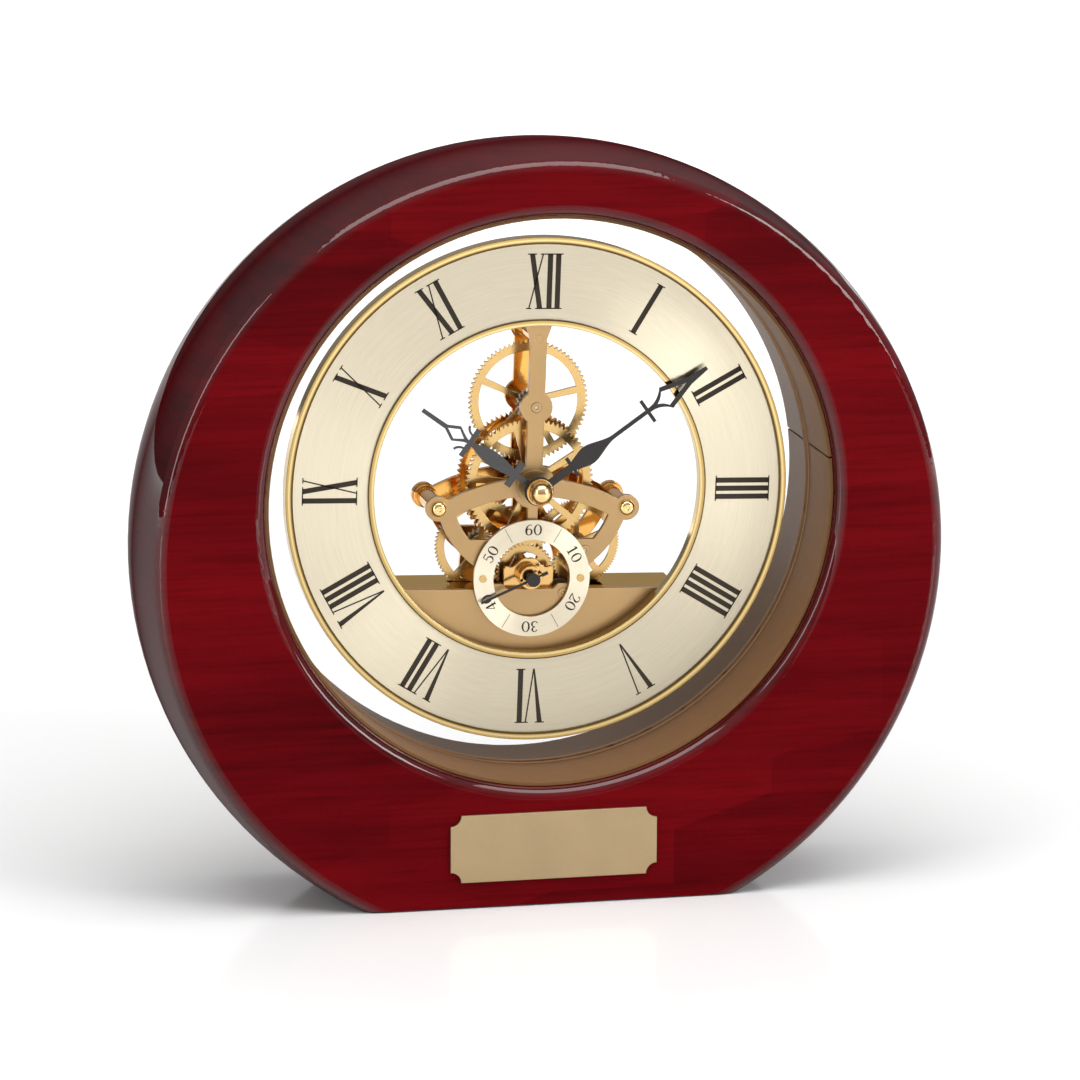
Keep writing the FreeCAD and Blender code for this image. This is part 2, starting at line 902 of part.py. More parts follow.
def idler_stud():
    back = seconds_wheel_front + wheel_thickness + end_shake
    return turned(
        idler_axis,
        [
            (0, plate_front),
            (stud_radius, plate_front),
            (stud_radius, back),
            (stud_head_radius, back),
            (stud_head_radius, back + stud_head_height),
            (0, back + stud_head_height),
        ],
    )


# Base housing and what it holds
def housing():
    inner = housing_radius - housing_wall
    inner_back = housing_back - housing_wall
    below = -housing_radius
    shell = segment(housing_radius, below, base_top, housing_front, housing_back)
    shell = shell.cut(segment(inner, below, base_top - housing_wall, housing_front, inner_back))
    shell = joined([shell, rotor_boss(), cell_bay()])
    hole = pivot_radius + pivot_clearance
    shell = shell.cut(rod(rotor_axis, hole, rotor_boss_front() - over, rotor_tail()))
    for axis, teeth, module, front in (
        (third_axis, third_teeth, third_module, middle_wheel_front),
        (fast_axis, fast_teeth, rotor_module, middle_wheel_front),
        (seconds_axis, seconds_teeth, seconds_module, seconds_wheel_front),
    ):
        shell = shell.cut(wheel_slot(axis, teeth, module, front))
    well_back = middle_wheel_front + wheel_thickness + slot_clearance
    well_low = base_top - housing_wall
    shell = shell.cut(block(well_left, well_right, well_front, well_back, well_low, base_top))
    room = rotor_radius + slot_clearance
    shell = shell.cut(
        block(rotor_axis.x - room, rotor_axis.x + room, housing_front, well_front, well_low, base_top)
    )
    left, right, bottom, top = door_opening()
    shell = shell.cut(block(left, right, inner_back, housing_back, bottom, top))
    shell = shell.cut(
        block(
            left - door_margin, right + door_margin, housing_back - door_ledge, housing_back,
            bottom - door_margin, top + door_margin,
        )
    )
    for screw in leg_screws():
        shell = shell.cut(screw)
    return shell


def wheel_slot(axis, teeth, module, front):
    """Room for a wheel that dips below the housing's top, through the top wall only."""
    tip = pitch_radius(teeth, module) + addendum_share * module + slot_clearance
    slot = rod(axis, tip, front - slot_clearance, front + wheel_thickness + slot_clearance)
    box = slot.BoundBox
    return slot.common(
        block(box.XMin, box.XMax, box.YMin, box.YMax, base_top - housing_wall, base_top)
    )


def rotor_boss_front():
    return middle_wheel_front + wheel_thickness + 2 * pinion_overhang


def rotor_tail():
    return rotor_boss_front() + rotor_boss_length - end_shake


def rotor_boss():
    """A lug under the housing's top that carries the rotor's back pivot."""
    half = rotor_boss_width / 2
    front = rotor_boss_front()
    low = rotor_axis.z - half
    return block(
        rotor_axis.x - half, rotor_axis.x + half, front, front + rotor_boss_length, low, base_top
    )


def cell_rod(radius, left, right):
    return Part.makeCylinder(radius, right - left, Vector(left, cell_depth, -cell_drop), Vector(1, 0, 0))


def cell_bay():
    """A trough for the cell, open above and behind, with end walls for the contacts."""
    reach = cell_length / 2 + contact_thickness
    room = cell_radius + cell_clearance
    front = cell_depth - room - bay_wall
    back = housing_back - housing_wall
    full = segment(housing_radius - housing_wall, -housing_radius, -cell_drop, front, back)
    end = reach + bay_wall
    bay = full.common(block(-end, end, front, back, -housing_radius, -cell_drop))
    bay = bay.cut(cell_rod(room, -reach, reach))
    return bay.cut(block(-reach, reach, cell_depth, back, -cell_drop - room, -cell_drop))


def door_opening():
    half = cell_length / 2 + contact_thickness + cell_clearance
    room = cell_radius + cell_clearance
    return -half, half, -cell_drop - room, -cell_drop + room


def battery_door():
    left, right, bottom, top = door_opening()
    grow = door_margin - door_clearance
    front = housing_back - door_ledge
    door = block(left - grow, right + grow, front, housing_back, bottom - grow, top + grow)
    half = door_grip_width / 2
    return door.cut(
        block(-half, half, housing_back - door_grip_depth, housing_back, bottom, bottom + door_grip_height)
    )


def cell():
    half = cell_length / 2
    shoulder = half - cell_button_length
    return joined([cell_rod(cell_radius, -half, shoulder), cell_rod(cell_button_radius, shoulder, half)])


def cell_contacts():
    half = cell_length / 2
    front = cell_depth - contact_width / 2
    low = -cell_drop - contact_height / 2
    return [
        block(left, left + contact_thickness, front, front + contact_width, low, low + contact_height)
        for left in (-half - contact_thickness, half)
    ]


def circuit_board():
    right = board_left + board_width
    back = housing_front + board_thickness
    return block(board_left, right, housing_front, back, board_top - board_height, board_top)


def stator():
    """The motor's flat core: a bar through the coil, an eye round the rotor and a mounting post."""
    front = stator_front
    back = stator_front + stator_thickness
    bore = rotor_radius + stator_clearance
    eye = bore + stator_wall
    low = -coil_drop - core_width / 2
    high = -coil_drop + core_width / 2
    left = coil_left - core_width
    pieces = [
        block(left, rotor_axis.x, front, back, low, high),
        rod(rotor_axis, eye, front, back),
        block(left, coil_left, housing_front, front, low, high),
    ]
    body = joined(pieces)
    return drilled(body, [rotor_axis], bore)


def coil():
    middle = stator_front + stator_thickness / 2
    start = Vector(coil_left, middle, -coil_drop)
    winding = Part.makeCylinder(coil_radius, coil_length, start, Vector(1, 0, 0))
    back = stator_front + stator_thickness
    half = core_width / 2
    return winding.cut(
        block(
            coil_left, coil_left + coil_length, stator_front, back, -coil_drop - half, -coil_drop + half
        )
    )


# Turning pieces
def stepped_arbor(axis, steps):
    """One turned arbor from (radius, y) steps, each step reaching back to its y."""
    profile = [(0, steps[0][1])]
    for (radius, front), (_, back) in zip(steps, steps[1:]):
        profile += [(radius, front), (radius, back)]
    profile.append((0, steps[-1][1]))
    return turned(axis, profile)


def centre_arbor():
    nut_front = minute_hand_front - nut_thread_depth
    return rod(centre_axis, arbor_radius, nut_front, rear_plate_back + bush_head + knob_gap + knob_length)


def cannon_pinion():
    front = middle_wheel_front - pinion_overhang
    back = middle_wheel_front + wheel_thickness + pinion_overhang
    body = tube(centre_axis, cannon_radius, arbor_radius, minute_hand_front + hand_thickness, front)
    leaves = pinion(centre_axis, cannon_teeth, cannon_module, 0.0, front, back)
    return joined([body, drilled(leaves, [centre_axis], arbor_radius)])


def centre_wheel():
    return spoked_wheel(centre_axis, centre_teeth, centre_module, centre_phase, centre_wheel_front,
                        centre_wheel_thickness, wheel_hub_radius, arbor_radius, centre_spoke_deg)


def hour_wheel():
    return spoked_wheel(centre_axis, hour_teeth, hour_module, hour_phase, hour_wheel_front,
                        wheel_thickness, hour_hub_radius, hour_pipe_radius, hour_spoke_deg)


def hour_pipe():
    inner = cannon_radius + running_clearance
    front = hour_hand_front + hand_thickness
    return tube(centre_axis, hour_pipe_radius, inner, front, hour_wheel_front + wheel_thickness)


def motion_wheel():
    return spoked_wheel(motion_axis, motion_wheel_teeth, cannon_module, motion_phase, middle_wheel_front,
                        wheel_thickness, wheel_hub_radius, arbor_radius, motion_spoke_deg)


def pivoted_arbor(axis, radius, front_seat, back_seat):
    return stepped_arbor(
        axis,
        [
            (pivot_radius, front_seat),
            (radius, plate_back + end_shake),
            (pivot_radius, rear_plate_front - end_shake),
            (0, back_seat),
        ],
    )


def motion_arbor():
    shaft = pivoted_arbor(motion_axis, arbor_radius, plate_front, rear_plate_back)
    front = hour_wheel_front - pinion_overhang
    back = hour_wheel_front + wheel_thickness + pinion_overhang
    leaves = pinion(motion_axis, motion_pinion_teeth, hour_module, 0.0, front, back)
    return joined([shaft, leaves])


def third_wheel():
    return spoked_wheel(third_axis, third_teeth, third_module, third_phase, middle_wheel_front,
                        wheel_thickness, wheel_hub_radius, arbor_radius, third_spoke_deg)


def third_arbor():
    shaft = pivoted_arbor(third_axis, arbor_radius, plate_front, rear_plate_back)
    front = centre_wheel_front - pinion_overhang
    back = centre_wheel_front + centre_wheel_thickness + pinion_overhang
    leaves = pinion(third_axis, third_pinion_teeth, centre_module, third_phase, front, back)
    return joined([shaft, leaves])


def seconds_wheel():
    return spoked_wheel(seconds_axis, seconds_teeth, seconds_module, seconds_wheel_phase,
                        seconds_wheel_front, wheel_thickness, small_hub_radius, fine_arbor_radius,
                        seconds_spoke_deg)


def seconds_arbor():
    shaft = stepped_arbor(
        seconds_axis,
        [
            (fine_arbor_radius, seconds_hand_front + hand_thickness),
            (pivot_radius, rear_plate_front - end_shake),
            (0, rear_plate_back),
        ],
    )
    front = middle_wheel_front - pinion_overhang
    back = middle_wheel_front + wheel_thickness + pinion_overhang
    leaves = pinion(seconds_axis, seconds_pinion_teeth, third_module, seconds_phase, front, back)
    return joined([shaft, leaves])


def fast_wheel():
    return spoked_wheel(fast_axis, fast_teeth, rotor_module, 0.0, middle_wheel_front,
                        wheel_thickness, wheel_hub_radius, arbor_radius, fast_spoke_deg)


def fast_arbor():
    shaft = pivoted_arbor(fast_axis, arbor_radius, plate_front, rear_plate_back)
    front = seconds_wheel_front - pinion_overhang
    back = seconds_wheel_front + wheel_thickness + pinion_overhang
    leaves = pinion(fast_axis, fast_pinion_teeth, seconds_module, fast_pinion_phase, front, back)
    return joined([shaft, leaves])


def idler_gear():
    bore = stud_radius + running_clearance
    back = seconds_wheel_front + wheel_thickness
    leaves = pinion(idler_axis, idler_teeth, seconds_module, idler_phase, seconds_wheel_front, back)
    hub = rod(idler_axis, idler_hub_radius, plate_back + end_shake, seconds_wheel_front)
    return drilled(joined([leaves, hub]), [idler_axis], bore)


def rotor():
    shaft = stepped_arbor(
        rotor_axis,
        [
            (pivot_radius, plate_front),
            (fine_arbor_radius, plate_back + end_shake),
            (pivot_radius, rotor_boss_front() - end_shake),
            (0, rotor_tail() - end_shake),
        ],
    )
    front = middle_wheel_front - pinion_overhang
    back = middle_wheel_front + wheel_thickness + pinion_overhang
    return joined([shaft, pinion(rotor_axis, rotor_pinion_teeth, rotor_module, rotor_phase, front, back)])


def rotor_magnet():
    return tube(rotor_axis, rotor_radius, fine_arbor_radius, rotor_front, rotor_front + rotor_length)


def setting_knob():
    front = rear_plate_back + bush_head + knob_gap
    body = rod(centre_axis, knob_radius, front, front + knob_length)
    for index in range(knob_flutes):
        angle = 2 * math.pi * index / knob_flutes
        place = Vector(knob_radius * math.cos(angle), 0, knob_radius * math.sin(angle))
        body = body.cut(rod(place, knob_flute_radius, front - over, front + knob_length + over))
    return body.cut(rod(centre_axis, arbor_radius, front - over, front + knob_length + over))


def cap_nut():
    """A ball standing out of a flat collar, on the front end of the centre arbor."""
    seat = minute_hand_front
    collar = seat - nut_collar_height
    centre_y = collar - nut_ball_stand
    shoulder = math.sqrt(nut_ball_radius**2 - nut_ball_stand**2)
    half_way = nut_ball_radius * math.sqrt(2) / 2
    thread_end = seat - nut_thread_depth
    tip = Vector(0, centre_y - nut_ball_radius, 0)
    corners = [
        Vector(shoulder, collar, 0),
        Vector(nut_collar_radius, collar, 0),
        Vector(nut_collar_radius, seat, 0),
        Vector(arbor_radius, seat, 0),
        Vector(arbor_radius, thread_end, 0),
        Vector(0, thread_end, 0),
        tip,
    ]
    ball = Part.Arc(tip, Vector(half_way, centre_y - half_way, 0), corners[0]).toShape()
    half = Part.Face(Part.Wire([ball] + Part.makePolygon(corners).Edges))
    return half.revolve(centre_axis, Vector(0, 1, 0), 360)


# Hands: outlines up the right-hand side, as (along, across) shares of the hand's length
minute_shank_share = 0.019
minute_leaf_shares = (
    (0.205, 0.024), (0.245, 0.036), (0.293, 0.047), (0.345, 0.036), (0.40, 0.017), (0.44, 0.0095),
)
minute_bar_shares = (0.189, 0.207, 0.053)
minute_upper_bar_shares = (0.639, 0.656, 0.0625)
minute_head_curve_shares = ((0.650, 0.0115), (0.68, 0.012), (0.72, 0.027), (0.757, 0.061))
minute_head_shares = ((0.895, 0.0192), (1.0, 0.0086))
minute_eye_curve_shares = ((0.703, 0.0), (0.728, 0.014), (0.752, 0.040))
minute_eye_shares = ((0.88, 0.0),)

hour_shank_share = 0.0195
hour_leaf_shares = (
    (0.224, 0.030), (0.30, 0.043), (0.387, 0.052), (0.481, 0.041), (0.56, 0.017), (0.60, 0.014),
)
hour_bar_shares = (0.177, 0.224, 0.097)
hour_upper_bar_shares = (0.575, 0.608, 0.110)
hour_head_curve_shares = ((0.600, 0.012), (0.630, 0.018), (0.675, 0.040), (0.712, 0.059))
hour_head_shares = ((0.795, 0.0165), (1.0, 0.0152))
hour_eye_curve_shares = ((0.642, 0.0), (0.675, 0.020), (0.706, 0.040))
hour_eye_shares = ((0.782, 0.0),)
hour_curl_centre_shares = (0.603, 0.116)
hour_curl_radius_share = 0.062
hour_curl_width_share = 0.015
hour_curl_sweep_deg = 72.0

seconds_shank_share = 0.021
seconds_tail_share = 0.014
seconds_weight_shares = (-0.29, -0.17, 0.028)


def bar(shares, length, front):
    low, high, half = (share * length for share in shares)
    return block(-half, half, front, front + hand_thickness, low, high)


def hand_head(curve_shares, corner_shares, eye_curve_shares, eye_shares, length, front):
    """The open kite and pointer at a hand's end."""
    outer = mirrored_wire(lengths(curve_shares, length), lengths(corner_shares, length))
    eye = mirrored_wire(lengths(eye_curve_shares, length), lengths(eye_shares, length))
    return sheet(outer, front, hand_thickness, [eye])


def finished_hand(pieces, bore, bearing_deg):
    hand = drilled(joined(pieces), [centre_axis], bore)
    hand.rotate(centre_axis, Vector(0, 1, 0), bearing_deg)
    return hand


def minute_hand():
    length = minute_hand_length
    front = minute_hand_front
    leaf_foot = minute_leaf_shares[0][0]
    leaf_top, stem = minute_leaf_shares[-1]
    head_foot = minute_head_curve_shares[0][0]
    pieces = [
        rod(centre_axis, minute_hub_disc_radius, front, front + hand_thickness),
        bar((0, leaf_foot, minute_shank_share), length, front),
        sheet(mirrored_wire(lengths(minute_leaf_shares, length), []), front, hand_thickness),
        bar((leaf_top, head_foot, stem), length, front),
        bar(minute_bar_shares, length, front),
        bar(minute_upper_bar_shares, length, front),
        hand_head(
            minute_head_curve_shares, minute_head_shares,
            minute_eye_curve_shares, minute_eye_shares, length, front,
        ),
    ]
    return finished_hand(pieces, arbor_radius, minute_hand_bearing_deg)


def hour_curl(side, front):
    """A thin arc that rises from the upper bar and turns outward."""
    length = hour_hand_length
    along, across = (share * length for share in hour_curl_centre_shares)
    radius = hour_curl_radius_share * length
    half = hour_curl_width_share * length / 2
    sweep = math.radians(hour_curl_sweep_deg)
    reach = 2 * radius
    centre = Vector(side * across, 0, along)
    ring = tube(centre, radius + half, radius - half, front, front + hand_thickness)
    wedge = outline(
        [
            (centre.x, centre.z),
            (centre.x - side * reach, centre.z),
            (centre.x - side * reach, centre.z + reach),
            (centre.x - side * reach * math.cos(sweep), centre.z + reach * math.sin(sweep)),
        ]
    )
    return ring.common(sheet(wedge, front, hand_thickness))


def hour_hand():
    length = hour_hand_length
    front = hour_hand_front
    pieces = [
        rod(centre_axis, hour_hub_disc_radius, front, front + hand_thickness),
        bar((0, hour_leaf_shares[0][0], hour_shank_share), length, front),
        sheet(mirrored_wire(lengths(hour_leaf_shares, length), []), front, hand_thickness),
        bar(hour_bar_shares, length, front),
        bar(hour_upper_bar_shares, length, front),
        hand_head(
            hour_head_curve_shares, hour_head_shares,
            hour_eye_curve_shares, hour_eye_shares, length, front,
        ),
        hour_curl(-1, front),
        hour_curl(1, front),
    ]
    return finished_hand(pieces, cannon_radius + running_clearance, hour_hand_bearing_deg)


def seconds_hand():
    length = seconds_hand_length
    front = seconds_hand_front
    pieces = [
        bar((0, 1, seconds_shank_share), length, front),
        bar(seconds_weight_shares, length, front),
        bar((seconds_weight_shares[1], 0, seconds_tail_share), length, front),
        rod(centre_axis, seconds_cap_radius, front - seconds_cap_height, front + hand_thickness),
    ]
    hand = joined(pieces)
    hand.rotate(centre_axis, Vector(0, 1, 0), seconds_hand_bearing_deg)
    hand.translate(seconds_axis)
    return hand


# Writing the pieces
def placed(shape):
    """A movement piece turned by the dial's slight rotation and raised to the dial's height."""
    moved = shape.copy()
    moved.rotate(centre_axis, Vector(0, 1, 0), dial_turn_deg)
    moved.translate(Vector(0, 0, dial_height))
    return moved


def save(name, made, in_movement=True):
    solids = made if isinstance(made, list) else [made]
    if in_movement:
        solids = [placed(solid) for solid in solids]
    shape = Part.makeCompound(solids) if len(solids) > 1 else solids[0]
    shape.exportStep("parts/" + name + ".step")


case_pieces = {
    "case_body": case_body(),
    "felt_strips": felt_places(),
    "liner_front": liner_sleeve(case_front + bore_round, glass_front),
    "liner_rear": liner_sleeve(glass_back, case_back - back_chamfer),
    "clear_disc": clear_disc(),
    "name_plaque": name_plaque(),
}
movement_pieces = {
    "dial_bezel": dial_bezel(),
    "dial_ring": dial_ring(),
    "inner_rim": inner_rim(),
    "clamp_ring": clamp_ring(),
    "clamp_screws": clamp_screws(),
    "front_plate": front_plate(),
    "rear_plate": rear_plate(),
    "plate_screws": plate_screws(),
    "leg_screws": leg_screws(),
    "hub_bush": hub_bush(),
    "front_pivot_bushes": front_bushes(),
    "rear_pivot_bushes": rear_bushes(),
    "pillar_left": side_pillar(pillar_axes()[0]),
    "pillar_right": side_pillar(pillar_axes()[1]),
    "pillar_top": top_pillar(),
    "front_pillar_screws": [pillar_screw(axis, plate_front, -1) for axis in pillar_axes()],
    "rear_pillar_screws": [
        pillar_screw(axis, rear_plate_back, 1) for axis in pillar_axes() + [top_pillar_axis()]
    ],
    "seconds_dial": seconds_dial(),
    "seconds_dial_rivets": seconds_dial_rivets(),
    "seconds_bridge": seconds_bridge(),
    "idler_stud": idler_stud(),
    "base_housing": housing(),
    "battery_door": battery_door(),
    "battery": cell(),
    "battery_contacts": cell_contacts(),
    "circuit_board": circuit_board(),
    "motor_stator": stator(),
    "motor_coil": coil(),
    "rotor_pinion": rotor(),
    "rotor_magnet": rotor_magnet(),
    "centre_arbor": centre_arbor(),
    "cannon_pinion": cannon_pinion(),
    "centre_wheel": centre_wheel(),
    "minute_hand": minute_hand(),
    "cap_nut": cap_nut(),
    "setting_knob": setting_knob(),
    "hour_wheel": hour_wheel(),
    "hour_pipe": hour_pipe(),
    "hour_hand": hour_hand(),
    "motion_wheel": motion_wheel(),
    "motion_arbor": motion_arbor(),
    "third_wheel": third_wheel(),
    "third_arbor": third_arbor(),
    "seconds_wheel": seconds_wheel(),
    "seconds_arbor": seconds_arbor(),
    "seconds_hand": seconds_hand(),
    "fast_wheel": fast_wheel(),
    "fast_arbor": fast_arbor(),
    "idler_gear": idler_gear(),
}

for name, piece in case_pieces.items():
    save(name, piece, False)
for name, piece in movement_pieces.items():
    save(name, piece)
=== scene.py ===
"""Looks of the round skeleton mantel clock.

Lacquered wood, brushed dial, gold wheels, printed numerals, and the studio round them.
"""
import json
import math

import bmesh
import bpy
from mathutils import Matrix, Vector


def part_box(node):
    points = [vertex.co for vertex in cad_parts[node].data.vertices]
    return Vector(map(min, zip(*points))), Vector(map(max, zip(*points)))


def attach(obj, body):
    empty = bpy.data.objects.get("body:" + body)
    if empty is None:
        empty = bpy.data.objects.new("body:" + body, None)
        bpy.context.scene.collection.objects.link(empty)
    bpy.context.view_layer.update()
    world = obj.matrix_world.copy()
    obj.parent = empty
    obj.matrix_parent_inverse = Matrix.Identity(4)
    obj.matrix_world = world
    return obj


MM = 0.001

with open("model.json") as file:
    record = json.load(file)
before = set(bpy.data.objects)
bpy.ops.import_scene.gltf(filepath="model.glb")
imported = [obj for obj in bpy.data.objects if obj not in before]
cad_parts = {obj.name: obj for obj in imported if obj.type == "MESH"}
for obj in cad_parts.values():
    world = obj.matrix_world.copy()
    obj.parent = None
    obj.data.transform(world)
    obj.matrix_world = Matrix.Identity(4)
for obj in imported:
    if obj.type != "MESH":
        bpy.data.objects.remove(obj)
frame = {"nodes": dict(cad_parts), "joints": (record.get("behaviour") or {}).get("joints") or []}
nodes = frame["nodes"]
joints = {joint["name"]: joint for joint in frame["joints"]}
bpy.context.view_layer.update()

FIXED = "case_and_frame"

# Places worked out from the frame, in metres
dial_centre = Vector(joints["minute_turn"]["pos_m"])
seconds_centre = Vector(joints["seconds_turn"]["pos_m"])
down = seconds_centre - dial_centre
dial_turn = math.atan2(-down.x, -down.z)
dial_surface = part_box("dial_ring")[0].y
seconds_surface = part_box("seconds_dial")[0].y
sheet_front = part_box("clear_disc")[0].y
plate_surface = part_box("front_plate")[0].y
liner_low, liner_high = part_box("liner_rear")
liner_wall = 0.8 * MM
bore_radius = (liner_high.x - liner_low.x) / 2 - liner_wall

# Outer radii of the dial's two gold rims, in millimetres
bezel_low, bezel_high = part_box("dial_bezel")
bezel_out = (bezel_high.x - bezel_low.x) / 2 / MM
rim_low, rim_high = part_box("inner_rim")
rim_out = (rim_high.x - rim_low.x) / 2 / MM

# Camera: the photograph's view, as angles round a target in the case
camera_target = Vector((1.20, 0.0, 88.15)) * MM
camera_distance = 1603.47 * MM
camera_azimuth = math.radians(-12.5)
camera_elevation = math.radians(11.95)
camera_roll = math.radians(0.19)
camera_lens = 214.21
sensor_width = 36.0
camera_reach = 20.0

# Numerals, in millimetres
numeral_radius = 52.55
numeral_height = 13.9
stem_width = 1.32
hairline = 0.36
serif_height = 0.30
serif_reach = 0.50
stem_pitch = 2.07
x_offset = 3.47
x_thick_lean = 1.15
x_thin_lean = 1.65
v_offset = 3.38
v_lean = 1.83
ink_thickness = 0.03
ink_gap = 0.004
seconds_numeral_radius = 12.35
seconds_digit_height = 2.75
seconds_digit_pitch = 2.25
seconds_tick_inner = 10.6
seconds_tick_outer = 14.4
seconds_tick_width = 0.13

# Knurl on the cap nut's collar, in millimetres
knurl_ridges = 44
knurl_height = 0.18
knurl_lead = 0.02
collar_height = 1.0

# Wood: scales of its figure along X, Y and Z in cycles per metre, and what each layer adds
cloud_scale = (5.0, 9.0, 26.0)
streak_scale = (9.0, 30.0, 190.0)
pore_scale = (30.0, 90.0, 900.0)
block_scale = (9.0, 14.0, 27.0)
block_shift = (0.3, 0.1, 0.7)
cloud_weight = 0.62
block_weight = 0.30
streak_weight = 0.38
pore_weight = 0.5
wood_tones = (
    (0.28, (0.014, 0.0006, 0.0010)),
    (0.48, (0.052, 0.0010, 0.0020)),
    (0.62, (0.092, 0.0014, 0.0030)),
    (0.86, (0.150, 0.0026, 0.0048)),
)
pore_tones = ((0.34, (0.55, 0.5, 0.5)), (0.52, (1.0, 1.0, 1.0)))
# Painted shade: the colour that darkens the wood where it faces to the side, and how strongly
painted_side_shade = (0.34, 0.45, 0.60)
painted_side_shade_weight = 0.85

# Wood: its clear coat, thickest on the rounded edges and rubbed thin on the flat faces
coat_on_rounds = 1.7
coat_on_face = 0.035
coat_wave_scale = 26.0
coat_wave_strength = 0.05
coat_wave_depth = 0.6 * MM

# Depth of the fine grain and scratches in metals, paints and plastics
grain_depth = 0.05 * MM

# Metal: scales of its uneven tone in cycles per metre, its polish as shares of the roughness
tone_scale = 60.0
polish_least_share = 0.75
polish_spread_share = 0.5
brush_drift_scale = 28.0
brush_drift_across = 2.2
brush_drift_along = 9.0
brush_dark_share = 0.86
brush_depth = 0.03 * MM
band_grain_scale = 400.0
band_grain_share = 0.04
band_edge = 0.3 * MM
pillar_dark_share = 0.85
pillar_roughness = 0.14
pillar_end_roughness = 0.34
pillar_end_margin = 0.1 * MM

# Clear sheet: faint haze, a matt edge that glows as painted light, and its seat behind the dial
# painted with a flat glow
sheet_index = 1.2
sheet_tint = (0.9, 0.93, 0.92)
sheet_roughness = 0.02
haze_scale = 12.0
haze_cover = 0.012
edge_band = 0.4 * MM
edge_cover = 0.85
# Painted light: the glow of the sheet's matt edge, its strength and its colour
painted_edge_strength = 0.85
painted_edge_light = (0.155, 0.095, 0.056)
# Painted light: the flat glow where the dial lies on the sheet
seated_painted_light = (0.34, 0.27, 0.17)
seated_roughness = 0.30
seat_margin = 0.02 * MM

# Floor: a glow that sets in at a distance from the clock and gains with each metre
floor_half = 3.0
floor_tone = (0.80, 0.80, 0.80)
floor_roughness = 0.12
floor_specular = 0.45
floor_lift = 0.9
floor_lift_start = 0.10

# World: brightness from straight below (0) to straight above (1)
sky_levels = ((0.0, 0.10), (0.47, 0.16), (0.56, 0.55), (0.75, 0.95), (1.0, 1.0))
sky_strength = 0.62

# Softboxes: name, place, width and height in metres, power in watts; all face one point
lit_point = (0.0, 0.0, 0.1)
softboxes = (
    ("softbox_right", (0.95, -0.95, 0.55), (0.35, 0.7), 10.0),
    ("softbox_left", (-1.05, -0.75, 0.5), (0.22, 0.95), 4.0),
    ("softbox_top", (0.0, -0.35, 1.25), (1.4, 0.9), 17.0),
)

BLACK = (0.0, 0.0, 0.0)
WHITE = (1.0, 1.0, 1.0)

# Sockets of the colour mix node
MIX_INPUTS = (6, 7)
MIX_RESULT = 2


# Shader helpers
def add_node(tree, kind, **values):
    made = tree.nodes.new(kind)
    for key, value in values.items():
        setattr(made, key, value)
    return made


def fill_ramp(ramp, stops):
    """Set a colour ramp's stops, each a position and a colour."""
    elements = ramp.color_ramp.elements
    while len(elements) < len(stops):
        elements.new(0.5)
    for element, (position, colour) in zip(elements, stops):
        element.position = position
        element.color = (*colour, 1.0)


